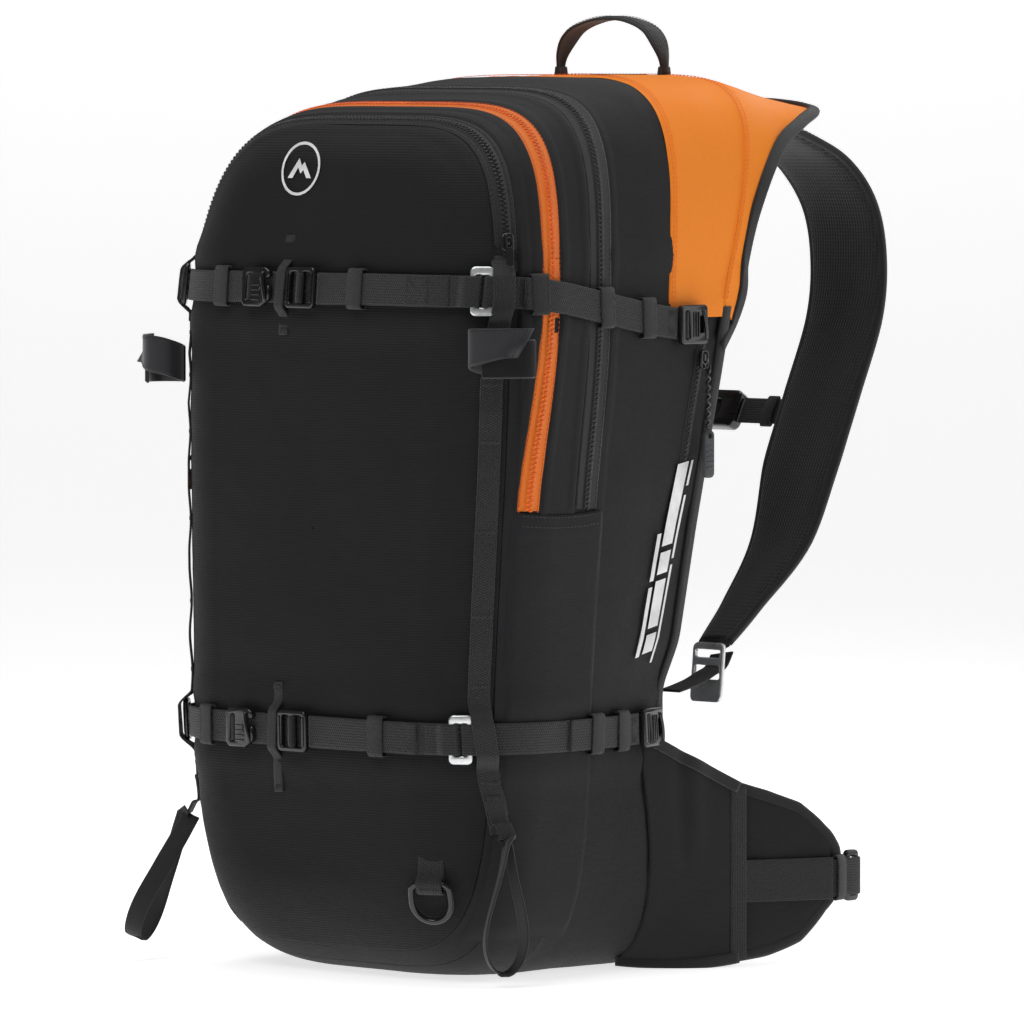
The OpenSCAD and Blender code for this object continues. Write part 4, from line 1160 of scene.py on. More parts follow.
piece(join("corner_slides_detail", [slide_frame(band_frame(u, z, H), f"slide_{int(z)}", M["silver"]) for u,
    z in ((131, UPPER_Z), (121, LOWER_Z))]),
      "pack", "silver_metal", "corner_slides")
piece(join("corner_rings_detail", [slide_frame(band_frame(-140, z, H), f"ring_{int(z)}", M["gloss"], 14, 27,
    (8, 20)) for z in (UPPER_Z, LOWER_Z)]),
      "pack", "black_hardware", "corner_rings")
# the strap runs over each slide's two bars and dips between them
for u0, zf, tag in ((131, upper_z, "upper"), (121, lower_z, "lower")):
    over = lambda v: 4.25 + 3.7 * smooth((15 - np.abs(v - u0)) / 6) - 3.4 * smooth((1.9
        - np.abs(v - u0)) / 0.9)
    strap_band(f"{tag}_over_slide", u0 - 21, u0 + 21, zf, over, M["web"], w=19.4, th=1.4, n=150, seed=8)
# narrow webbing tabs that hold the rings to the shell, over the strap
for u, z0, tag, w in ((-140, UPPER_Z, "ring_upper", 7.0), (-140, LOWER_Z, "ring_lower", 7.0)):
    F = band_frame(u, z0, 0)
    o, x, y, z = F
    path = hood([o + y * 24 + z * 1.4, o + y * 17 + z * 2.4, o + y * 12.4 + z * 7.2, o + z * 7.9,
        o - y * 12.4 + z * 7.2, o - y * 17 + z * 2.4, o - y * 24 + z * 1.4], 8)
    piece(sweep(f"tab_{tag}", path, x, web_profile(w, 1.0, 4), M["web_fine"]), "pack", "webbing")

bits = []
for side in (-1, 1):
    for u, z0 in ((304, float(upper_z(304))), (284, LOWER_Z)):
        F = band_frame(side * u, z0, H)
        if side < 0:
            F = (F[0], -F[1], -F[2], F[3])
        n = f"side_buckle_{side}_{u}"
        bits.append(plate(n, rounded(26, 25, 2.8), [rounded(4, 18, 1.4, cx=-7), rounded(5, 10, 1.4, cx=7)],
            4.5, F, M["gloss"], 1.0))
        o, x, y, z = F
        bits.append(tube(n + "_roll", ARR([o - x * 7 + y * s + z * 2.6 for s in np.linspace(-8.6, 8.6, 6)]),
            1.8, M["web_fine"], k=12))
        for i in range(3):
            bits.append(plate(n + f"_rib_{i}", rounded(1.2, 16, 0.5, cx=-1.5 + 2.4 * i), [], 1.0, F,
                M["gloss"], 0.35, 4.2))
        lip = [o + x * (9.8 + 1.8 * math.cos(q)) + y * s + z * (3.6 + 1.5 * math.sin(q)) for s,
            q in zip(np.linspace(-9, 9, 14), np.linspace(0.4, 2.6, 14))]
        bits.append(tube(n + "_lip", ARR(lip), 1.2, M["gloss"], k=10))
piece(join("side_buckles_detail", bits), "pack", "black_hardware", "side_buckles")


# ---------- edge webbing, loops and straps for an ice axe ----------
DAISY_TURN = table([(94, 64.7), (130, 54), (180, 46), (376, 45), (430, 52), (600, 52)], 16)


def daisy_at(z, across, out, side):
    t = DAISY_TURN(z)
    return at_height(R * (1 - np.cos(np.radians(t + across / R * 180 / math.pi))), z, side, out)


for side, tag in ((1, "right"), (-1, "left")):
    zz = np.linspace(96, 456, 240)
    bars = [100, 128, 188, 232, 284, 340, 376, 404, 452]
    near = np.min([np.abs(zz - b) for b in bars], axis=0)
    out = 0.7 + 1.3 * smooth(near / 22) + 0.25 * noise3(np.stack([zz, 0 * zz, 0 * zz], -1), 20, 40)
    for zs in (UPPER_Z, LOWER_Z):
        out = np.maximum(out, 0.7 + 9.3 * smooth((21 - np.abs(zz - zs)) / 12))
    C = daisy_at(zz, 0, out, side)
    Sx = daisy_at(zz, 4, out, side) - daisy_at(zz, -4, out, side)
    ob = sweep(f"daisy_{tag}", C, Sx, web_profile(14, 1.3, 6), M["web"])
    piece(ob, "pack", "webbing", *(("daisy_webbing",) if side > 0 else ()))
    for b in bars:
        i = int(np.argmin(np.abs(zz - b)))
        x = unit(Sx[i])
        n = unit(np.cross(x, tangents(C)[i]))
        n = n * np.sign(np.dot(n, C[i] - ARR([0, -95, zz[i]])))
        y = np.cross(n, x)
        piece(zigzag(f"daisy_bartack_{tag}_{b}", (C[i] + n * 0.75, x, y, n), 12, 2.6, M["thread"], 14),
            "pack", "webbing")


def rot(v, axis, deg):
    a = ARR(axis, float) / np.linalg.norm(axis)
    c, s = math.cos(math.radians(deg)), math.sin(math.radians(deg))
    v = ARR(v, float)
    return v * c + np.cross(a, v) * s + a * (v @ a)[..., None] * (1 - c)


def loop_shape(w, h, th):
    """The middle line of a hanging webbing loop in X and Z."""
    a = np.radians(np.linspace(-90, 270, 72, endpoint=False))
    g = (1 + np.sin(a)) / 2
    x = (w / 2 - th / 2) * np.cos(a) * (1 - 0.765 * smooth(g * 1.1))
    z = (h - th) * (g - 1) - th / 2
    return np.stack([x, 0 * x, z], -1)


def axe_loop(name, at, turns, body, node):
    """A hanging webbing loop, turned by turns and hung at at."""
    C = loop_shape(36, 88, 2.4)
    f = clamp(-C[:, 2] / 88, 0, 1)
    right = C[:, 0] > 0
    C[:, 1] = np.where(right, 2.4, -2.4) * (1 - smooth(f * 2.2)) + 1.2 * np.sin(f * 5) * np.where(right, 1,
        -1) * smooth(f * 1.5)
    S = np.zeros_like(C)
    S[:, 1] = 1
    tw = np.where(right, 16.0, -13.0) * np.sin(np.pi * f)
    S = ARR([rot(s, (0, 0, 1), t) for s, t in zip(S, tw)])
    for axis, deg in turns:
        C, S = rot(C, axis, deg), rot(S, axis, deg)
    ob = sweep(name, C + at, S, web_profile(12, 1.5, 6), M["web_fine"], loop=True)
    return piece(ob, body, "webbing", node)


top_r = daisy_at(94.0, 0, 12.0, 1)
top_l = daisy_at(94.0, 0, 12.0, -1)
axe_loop("axe_loop_right_web", top_r, [((1, 0, 0), 6), ((0, 0, 1), 62)], "axe_right", "axe_loop_right")
axe_loop("axe_loop_left_web", top_l, [((1, 0, 0), -19.5), ((0, 1, 0), -16), ((0, 0, 1), -62)], "axe_left",
    "axe_loop_left")
# tabs that join the loops to the edge webbing
for side, top, tag in ((1, top_r, "right"), (-1, top_l, "left")):
    a = daisy_at(118.0, 0, 1.6, side)
    b = daisy_at(104.0, 0, 2.6, side)
    path = hood([a, b, (b + top) / 2 + ARR([0, 0, 2.0]), top + ARR([0, 0, -0.5])], 8)
    Sx = daisy_at(100.0, 4, 2, side) - daisy_at(100.0, -4, 2, side)
    piece(sweep(f"axe_tab_{tag}", path, Sx, web_profile(12, 1.4, 5), M["web_fine"],
        scale=np.linspace(1, 0.92, len(path))[:, None] * ARR([1.0, 1.0])), "pack", "webbing")
    n = unit(a - ARR([0, -95, 118.0]))
    x = unit(Sx)
    n = unit(n - x * np.dot(n, x))
    piece(zigzag(f"axe_tab_bartack_{tag}", (a + n * 1.0, x, np.cross(n, x), n), 10, 3, M["thread"], 12),
        "pack", "webbing")


def soft_rim(a):
    """A circle pressed towards a square."""
    d = (np.abs(np.cos(a)) ** 2.6 + np.abs(np.sin(a)) ** 2.6) ** (1 / 2.6)
    return np.cos(a) / d, np.sin(a) / d


def shaft_strap(name, at, deg, body, node, flip=False):
    """A hook-and-loop strap closed on itself: pile below, a coated flap with a slanted end on top."""
    a = np.radians(np.linspace(-130, 322, 190))
    g = np.linspace(0, 1, len(a))
    cx, cy = soft_rim(a)
    grow = 2.1 * smooth((g - 0.60) / 0.14)
    lift = -3.2 + 7.0 * smooth((g - 0.45) / 0.32)
    C = np.stack([(19.6 + grow) * cx, (11.6 + grow) * cy, lift], -1)
    if flip:
        C[:, 0] *= -1
    S = np.broadcast_to(ARR([0.0, 0, 1]), C.shape)
    T = tangents(C)
    N = np.cross(T, S)
    N = N / np.linalg.norm(N, axis=1)[:, None]
    sgn = np.sign((N * C * ARR([1, 1, 0])).sum(-1))[:, None]
    over = np.clip((g - 0.78) / 0.22, 0, 1)[:, None]
    narrow = smooth((g[:, None] - 0.70) / 0.30)

    def flap(height, out):
        """A point of the strap: the lower edge rises, and the free end is cut on the slant."""
        low = (12 - height) / 24
        return (C[:, None] + S[:, None] * (height + 6.0 * narrow * low)[..., None]
                + (N * sgn)[:, None] * out[..., None] - T[:, None] * (over * low * 15.0)[..., None])

    def put(P):
        return rot(P.reshape(-1, 3), (0, 0, 1), deg).reshape(P.shape) + at

    def cloth(tag, half, thick, out, keep, mat):
        prof = web_profile(2 * half, thick, 9)
        hs = np.broadcast_to(prof[None, :, 0], (len(g), len(prof)))
        P = put(flap(hs, np.broadcast_to(prof[None, :, 1] + out, hs.shape)))[keep]
        return grid(name + tag, P, mat, loop_j=True, caps=True)

    obs = [cloth("", 12.0, 1.0, 0.0, g > -1, M["smooth_black"]),
           cloth("_pile", 11.2, 0.7, 0.8, g < 0.5, M["fuzz"]),
           cloth("_hooks", 10.6, 0.6, -0.75, g > 0.62, M["fuzz"])]
    for h in (-10.0, 10.0):
        m = g > 0.56
        hs = np.full((len(g), 1), h)
        L = put(flap(hs, hs * 0 + 0.62))[m][:, 0]
        obs.append(stitches(name + f"_stitch_{int(h)}", L[:-5], rot((N * sgn)[m][:-5], (0, 0, 1), deg),
            M["thread"], 2.6, 1.9, 0.24))
    hs = np.linspace(-10, 10, 12)[None, :]
    end = put(flap(np.broadcast_to(hs, (len(g), 12)), np.full((len(g), 12), 0.62)))[-6]
    obs.append(stitches(name + "_stitch_end", end, rot(np.repeat((N * sgn)[-6:-5], 12, 0), (0, 0, 1), deg),
        M["thread"], 2.6, 1.9, 0.24))
    return piece(join(name + "_all", obs), body, "webbing", node)


t50 = R * (1 - math.cos(math.radians(50)))
shaft_strap("shaft_strap_right_cloth", at_height(t50, 396.0, 1, 17.4), 50, "shaft_right",
    "shaft_strap_right")
shaft_strap("shaft_strap_left_cloth", at_height(t50, 386.0, -1, 17.4), -50, "shaft_left",
    "shaft_strap_left", flip=True)

# ---------- D-ring ----------
rt, rp = 12.0, math.radians(-49)
rn = unit(np.cross(skin(rt + 1, rp) - skin(rt - 1, rp), skin(rt, rp + 0.02) - skin(rt, rp - 0.02)))
rx = unit(np.cross((0, 0, 1), rn))
rz = np.cross(rn, rx)
ring_at = lambda x, z, out: skin(rt, rp) + rx * x + rz * z + rn * out
a = np.radians(np.linspace(180, 360, 26))
arc = [(13 * math.cos(q), 13 * math.sin(q)) for q in a]
top = [(13, 5), (12.4, 9.4), (10, 12.0), (5, 13), (0, 13), (-5, 13), (-10, 12.0), (-12.4, 9.4), (-13, 5)]
C = ARR([ring_at(p[0], p[1] - 1, 4.8) for p in arc + top])
piece(tube("d_ring_bar", resample(C, 1.2, True), 2.0, M["gloss"], loop=True, k=12), "ring",
    "black_hardware", "d_ring")
path = hood([ring_at(0, z, o) for z, o in ((27, -3.6), (20, -0.8), (16.5, 2.0), (13.6, 6.6), (10.4, 7.6),
    (6.5, 6.6), (4.4, 3.6), (6.0, 1.6), (11, 1.0), (18, -0.9))], 8)
piece(sweep("d_ring_web", path, rx, web_profile(17, 1.2, 6), M["web"]), "pack", "webbing", "d_ring_tab")
F = (ring_at(0, 8.6, 8.3), rx, rz, rn)
piece(zigzag("d_ring_stitch", F, 13, 2.6, M["thread"], 13), "pack", "webbing")

# ---------- haul loop ----------
arch = hood([(-46, 0, -2), (-44.5, 0, 10), (-35, 1, 24), (-18, 2, 31), (0, 2, 33), (18, 2, 31), (35, 1, 24),
    (44.5, 0, 10), (46, 0, -2)], 10)
f = clamp(arch[:, 2] / 22, 0, 1)
prof = []
for wv, th in zip(3.6 + 5.0 * smooth(f), 5.2 - 1.6 * smooth(f)):
    p = web_profile(2 * wv, 2.0, 9)
    dish = 1 - (p[:, 0] / wv) ** 2
    p[:, 1] += 1.5 * dish * (1.3 - 0.6 * smooth(wv / 8))
    prof.append(p)
T = tangents(arch)
Nn = unit(arch - ARR([0, 0, -4.0]) - T * ((arch - ARR([0, 0, -4.0])) * T).sum(-1, keepdims=True))
arch = arch + ARR([0, 72.0, 571.0])
loop = sweep("haul_loop_web", arch, (0, 1, 0), ARR(prof), M["web"], N=Nn)
piece(loop, "haul", "webbing", "haul_loop")
for s in (-1, 1):
    w = (3.6 + 5.0 * smooth(f)) * 0.72
    L = arch + ARR([0, 1.0, 0]) * (s * w)[:, None] + Nn * 1.9
    piece(stitches(f"haul_stitch_{'a' if s < 0 else 'b'}", L[12:-12], Nn[12:-12], M["thread"], 3.0, 2.2,
        0.3), "haul", "webbing")
for s in (-1, 1):
    base = ARR([46.0 * s, 72.0, 571.0])
    foot = hood([base + ARR([0, 0, 2.0]), base + ARR([0, 0, -5.0]), base + ARR([0.5 * s, 1, -8.5])], 5)
    piece(sweep(f"haul_foot_{'a' if s < 0 else 'b'}", foot, (0, 1, 0), web_profile(12, 2.6, 6), M["web"],
        scale=np.linspace(0.85, 1.25, len(foot))[:, None] * ARR([1.0, 1.0])), "pack", "webbing")

# ---------- orange cover and its wings ----------
phis = np.radians(np.linspace(25, 155, 220))
nt = 34
share = np.linspace(0, 1, nt)
t0 = COVER_T(phis)
t1 = edge_t(phis) - 8.0
T = t0 + (t1 - t0) * share[:, None]
Pc = skin(T, phis[None] + 0 * T, 1.2)
h = relief(Pc, 0.9, 51) * smooth(share * 5)[:, None] + 0.25 - 0.9 * (1 - smooth(share * 9))[:, None]
crease = 0.5 * np.sin(phis * 90)[None] * np.exp(-share[:, None] * 14)
Pc = pushed(Pc, h + crease * smooth(share * 20)[:, None])
lip = skin(t0, phis, 0.1)[None]
cover = grid("orange_cover", np.concatenate([lip, Pc]), M["orange"], away=INSIDE)
piece(cover, "pack", "orange_fabric", "airbag_cover")
for k, (dt, off) in enumerate(((1.6, 1.75), (4.4, 2.0))):
    L = skin(t0 + dt, phis, off)
    piece(stitches(f"cover_stitch_{k}", L, unit(L - ARR(INSIDE)), M["thread_orange"], 3.2, 2.3, 0.26),
        "pack", "orange_fabric")

RIM = ARR([[36, 150, 551], [74, 152, 550], [106, 148, 546], [120, 122, 538], [130, 93, 526], [138, 70, 505],
    [141, 54, 478], [142, 45, 452], [142, 42, 430], [141, 34, 409]], float)
ROOT = [83, 70, 58, 50, 46, 41, 37, 34, 29, 25]
rim_s = hood(RIM, 8)
root_s = np.interp(np.linspace(0, 9, len(rim_s)), range(10), ROOT)
for side, tag in ((1, "right"), (-1, "left")):
    phi = np.radians(root_s)
    a = skin(edge_t(phi) - 8.0, phi, 1.6)
    e = skin(edge_t(phi), phi, 1.0) + ARR([0, 3.0, 0])
    w = np.linspace(0, 1, 26)
    gap_len = np.linalg.norm(rim_s - e, axis=-1)
    body_rows = []
    for s in w:
        p = e * (1 - s) + rim_s * s
        sag = -6.5 * s * (1 - s) * (gap_len / 60)
        p = p + ARR([0, 0, 1.0]) * sag[:, None]
        body_rows.append(p)
    P = ARR([a * (1 - s) + body_rows[0] * s for s in (0, 0.35, 0.7)] + body_rows)
    folds = relief(P, 1.3, 60 + side) * smooth(np.linspace(0, 1, len(P)) * 4)[:,
        None] * smooth(np.linspace(1, 0, len(P)) * 4)[:, None]
    folds = folds + 0.9 * np.sin(np.linspace(0, 26, P.shape[1]))[None] * np.exp(-((np.linspace(1, 0,
        len(P)) / 0.16) ** 2))[:, None]
    P = pushed(P, folds, away=(0, 60, 440))
    if side < 0:
        P = mirror(P)
    ob = grid(f"orange_wing_{tag}", P, M["orange"], away=(0, 60, 440))
    mod = ob.modifiers.new("thick", "SOLIDIFY")
    mod.thickness, mod.offset = 0.0016, -1
    piece(ob, "pack", "orange_fabric")
    # binding along the outer border
    B = rim_s + unit(rim_s - e) * 0.6
    B = np.concatenate([B, hood([B[-1], at_height(back_t(395.0) - 4, 395.0, 1, 2.0)], 4)[1:]])
    B = mirror(B) if side < 0 else B
    dirs = unit(np.concatenate([rim_s - e, np.repeat((rim_s - e)[-1:], len(B) - len(rim_s), 0)]))
    dirs = mirror(dirs) if side < 0 else dirs
    sec = rrect(8.5, 3.6, 1.6, 4)
    piece(sweep(f"wing_binding_{tag}", B, dirs, sec, M["binding"]), "pack", "webbing")

# rear binding of the shell, where the orange cover leaves it open
for k, (p0, p1) in enumerate(((-52.5, 26.0), (82.0, 98.0), (154.0, 232.5))):
    phis = np.radians(np.linspace(p0, p1, int((p1 - p0) * 2)))
    et = edge_t(phis)
    cols = [(-8.5, 0.3), (-8.2, 1.5), (-7.2, 2.0), (-4, 2.2), (-1.0, 2.2), (0.8, 1.8), (1.5, 0.9),
        (1.4, -0.5)]
    P = ARR([skin(et + dt, phis, out) for dt, out in cols])
    piece(grid(f"rear_binding_{k}", P, M["binding"], away=INSIDE), "pack", "webbing",
        *(("edge_binding",) if k == 0 else ()))
    L = skin(et - 6.2, phis, 2.25)
    piece(stitches(f"rear_binding_stitch_{k}", L, unit(L - ARR(INSIDE)), M["thread"], 3.2, 2.3, 0.26),
        "pack", "webbing")
for k, (p0, p1) in enumerate(((27.0, 81.0), (99.0, 153.0))):
    phis = np.radians(np.linspace(p0, p1, 160))
    for j, dt in enumerate((-9.0, -5.0)):
        L = skin(edge_t(phis) + dt, phis, 2.3)
        piece(stitches(f"wing_seam_stitch_{k}_{j}", L, unit(L - ARR(INSIDE)), M["thread_orange"], 3.2, 2.3,
            0.3), "pack", "orange_fabric")

# ---------- shoulder straps ----------
STRAP = [(74, 92, 536), (74, 120, 534), (74, 149, 527), (79, 178, 511), (86, 196, 484), (90, 201, 450),
    (93, 194, 410), (96, 169, 360), (98, 148, 318), (103, 122, 266), (107, 82, 228), (111, 51, 204)]
HALF = [(0, 1), (8, 1), (9, 0.78), (10, 0.52), (11, 0.4)]
path0 = hood(STRAP, 9)
sv = np.linspace(0, 11, len(path0))
half0 = 32.5 * table([(a * 10, b) for a, b in HALF], 6)(sv * 10)
for side, tag in ((1, "right"), (-1, "left")):
    C = path0 if side > 0 else mirror(path0)
    T = tangents(C)
    S = unit(ARR([1.0, 0, 0]) - T * T[:, :1])
    N = np.cross(T, S)
    N = N * np.sign((N * (C - ARR([C[:, 0].mean(), 60, 400]))).sum(-1, keepdims=True))
    k = np.linspace(-1, 1, 22)
    w = half0 - 2.2
    crown = np.clip(1 - np.abs(k) ** 4, 0, 1) ** 0.5
    outer = C[:, None] + S[:, None] * (k[None] * w[:, None])[..., None] + N[:,
        None] * ((1.0 + 3.7 * crown)[None, :, None])
    inner = C[:, None] + S[:, None] * (k[None, ::-1] * w[:, None])[..., None] - N[:,
        None] * ((1.0 + 3.8 * crown[::-1])[None, :, None])
    P = np.concatenate([outer, inner], 1)
    P = P + N[:, None] * (0.45 * noise3(P, 30, 70 + side) + 0.2 * noise3(P, 12, 71))[..., None]
    cloth = grid(f"strap_pad_{tag}", P, M["side"], loop_j=True, caps=True)
    cloth.data.materials.append(M["mesh"])
    nj = P.shape[1]
    ids = [1 if (i % nj) >= 22 else 0 for i in range(len(cloth.data.polygons) - 2)] + [0, 0]
    cloth.data.polygons.foreach_set("material_index", ids)
    piece(cloth, "pack", "padding", f"shoulder_strap_{tag}", fill=0.8)
    for s in (-1, 1):
        edge = C + S * (half0 - 2.6)[:, None] * s
        sec = rrect(5.6, 4.6, 2.0, 4)
        piece(sweep(f"strap_binding_{tag}_{'a' if s < 0 else 'b'}", edge, S, sec, M["binding"]), "pack",
            "webbing")
        for q, tagq in ((1, "o"), (-1, "i")):
            L = C + S * (half0 - 6.4)[:, None] * s + N * q * 4.0
            piece(stitches(f"strap_stitch_{tag}_{'a' if s < 0 else 'b'}{tagq}", L, N * q, M["thread"], 3.4,
                2.5, 0.28), "pack", "webbing")
    # lower webbing through the adjuster
    low = hood([(113, 55, 197), (115.5, 46.5, 189), (116.5, 36.5, 185.5), (117.5, 25, 181.5),
        (118, 13, 178.5), (118, 1, 176)], 6)
    low = mirror(low) if side < 0 else low
    piece(sweep(f"strap_webbing_low_{tag}", low, (1, 0, 0), web_profile(18, 1.6, 6), M["web"]), "pack",
        "webbing", f"strap_webbing_{tag}")
    # bent silver adjuster
    at = ARR([116.0 * side, 40.0, 186.0])
    F = (at, ARR([1.0, 0, 0]), ARR([0, 0, 1.0]), ARR([0, -1.0, 0]))
    adj = plate(f"adjuster_{tag}", rounded(27, 38, 4, 8), [rounded(21, 9, 1.8), rounded(21, 5, 1.6, cy=12)],
        3.0, F, M["silver"], 1.1)
    v = np.empty(len(adj.data.vertices) * 3)
    adj.data.vertices.foreach_get("co", v)
    v = v.reshape(-1, 3)
    zz = (v[:, 2] / MM - 186) / 19
    v[:, 1] += (2.2 * zz**2 * np.where(zz < 0, -1, 1)) * MM
    adj.data.vertices.foreach_set("co", v.ravel())
    adj.data.update()
    piece(adj, f"adjuster_{tag}", "silver_metal", f"strap_adjuster_{tag}")

# ---------- sternum strap ----------
cdir = unit(ARR([0.0, -25, -50]))
cout = ARR([0.0, -cdir[2], cdir[1]])


def chest(x, z, out):
    s = (360 - z) / 50
    return ARR([x, 169 - 25 * s, z]) + cout * (5 + out)


def chest_frame(x, out):
    return chest(x, 352.0, out), ARR([1.0, 0, 0]), np.cross(cout, ARR([1.0, 0, 0])), cout


def chest_web(name, x0, x1, out):
    xs = np.linspace(x0, x1, 40)
    C = ARR([chest(x, 352.0, out) for x in xs])
    return sweep(name, C, np.cross(cout, ARR([1.0, 0, 0])), web_profile(18, 1.5, 6), M["web"],
        N=np.broadcast_to(cout, C.shape))


w1 = chest_web("sternum_web_right_strip", 21, 82, 4.8)
clip = plate("sternum_clip", rounded(15, 26, 3), [rounded(4, 18, 1.4, cx=-3)], 3.0, chest_frame(74, 0.6),
    M["gloss"], 0.9)
kp = []
for s in np.linspace(0, 2 * math.pi, 30, endpoint=False):
    kp.append(chest(46, 352.0, 4.8) + np.cross(cout, ARR([1.0, 0, 0])) * 10.6 * math.cos(s)
        + cout * 2.0 * math.sin(s))
kloop = sweep("sternum_keeper", ARR(kp), (1, 0, 0), rrect(9, 1.0, 0.4, 2), M["elastic"], loop=True)
piece(join("sternum_web_right", [w1, clip, kloop]), "sternum", "webbing", "sternum_webbing_right")
w2 = chest_web("sternum_web_left_strip", -82, -32, 4.8)
piece(join("sternum_web_left", [w2]), "sternum_plug", "webbing", "sternum_webbing_left")
sock = plate("sternum_socket_shell", rounded(34, 26, 5, 8, cx=3), [rounded(12, 12, 3, cx=-2)], 9.0,
    chest_frame(0, 0.6), M["gloss"], 1.6)
pl = plate("sternum_plug_base", rounded(18, 25, 4, 8, cx=-27), [], 8.0, chest_frame(0, 1.0), M["gloss"],
    1.6)
tongue = plate("sternum_plug_tongue", rounded(24, 15, 2.5, cx=-8), [rounded(8, 5, 1.5, cx=-6)], 4.0,
    chest_frame(0, 3.1), M["gloss"], 0.8)
piece(sock, "sternum", "black_hardware", "sternum_socket")
piece(join("sternum_plug_all", [pl, tongue]), "sternum_plug", "black_hardware", "sternum_plug")

# ---------- trigger handle and its pocket ----------
F = (chest(-98, 276.0, 2.0), ARR([1.0, 0, 0]), np.cross(cout, ARR([1.0, 0, 0])), cout)
pk = plate("trigger_pocket_body", rounded(34, 46, 6, 8), [], 4.0, F, M["stretch"], 1.4)
zipb = [stitches("pocket_stitch", ARR([F[0] + F[1] * p[0] + F[2] * p[1] + cout * 3.9
    for p in rounded(29, 41, 4, 6)]), cout, M["thread"], 3.0, 2.2, 0.26, loop=True)]
piece(join("trigger_pocket_all", [pk] + zipb), "pack", "webbing", "trigger_pocket")
F = (chest(-98, 276.0, 6.6), ARR([1.0, 0, 0]), np.cross(cout, ARR([1.0, 0, 0])), cout)
h1 = plate("trigger_grip", rounded(26, 11, 5, 8), [], 9.0, F, M["red"], 2.4)
h2 = plate("trigger_stem", rounded(12, 30, 4, 8), [], 5.0, F, M["red"], 1.4)
piece(join("trigger_handle_all", [h1, h2]), "trigger", "red_plastic", "trigger_handle")
route = hood([(-110, 149, 300), (-114, 162, 326), (-116, 179, 360), (-116, 204, 410), (-114, 212, 450),
    (-109, 206, 488), (-100, 185, 519), (-92, 152, 536),
              (-88, 120, 543), (-86, 95, 545), (-84, 64, 541), (-80, 34, 526), (-72, 14, 502),
              (-60, 8, 480), (-52, 4, 466), (-50, -2, 459)], 8)
cable = tube("trigger_cable_sleeve", route, 2.5, M["elastic"], k=12)
piece(cable, "pack", "grey_rubber", "trigger_cable")

# ---------- hip belt ----------
ST = ARR([[131, 6, 64, 61, 0.7], [133, 16, 62, 60, 1], [140, 34, 60, 57, 1], [150, 56, 58, 51.5, 1],
    [159, 76, 58, 43.5, 0.95], [166, 91, 60, 27, 0.8], [169, 98, 60, 17, 0.45]], float)


def stations(n):
    s = np.linspace(0, len(ST) - 1, n)
    c = ARR([np.interp(s, range(len(ST)), ST[:, k]) for k in range(5)]).T
    base = hood(ST[:, :3], 12)
    q = np.linspace(0, len(ST) - 1, len(base))
    for k in range(3):
        c[:, k] = np.interp(s, q, base[:, k])
    return c


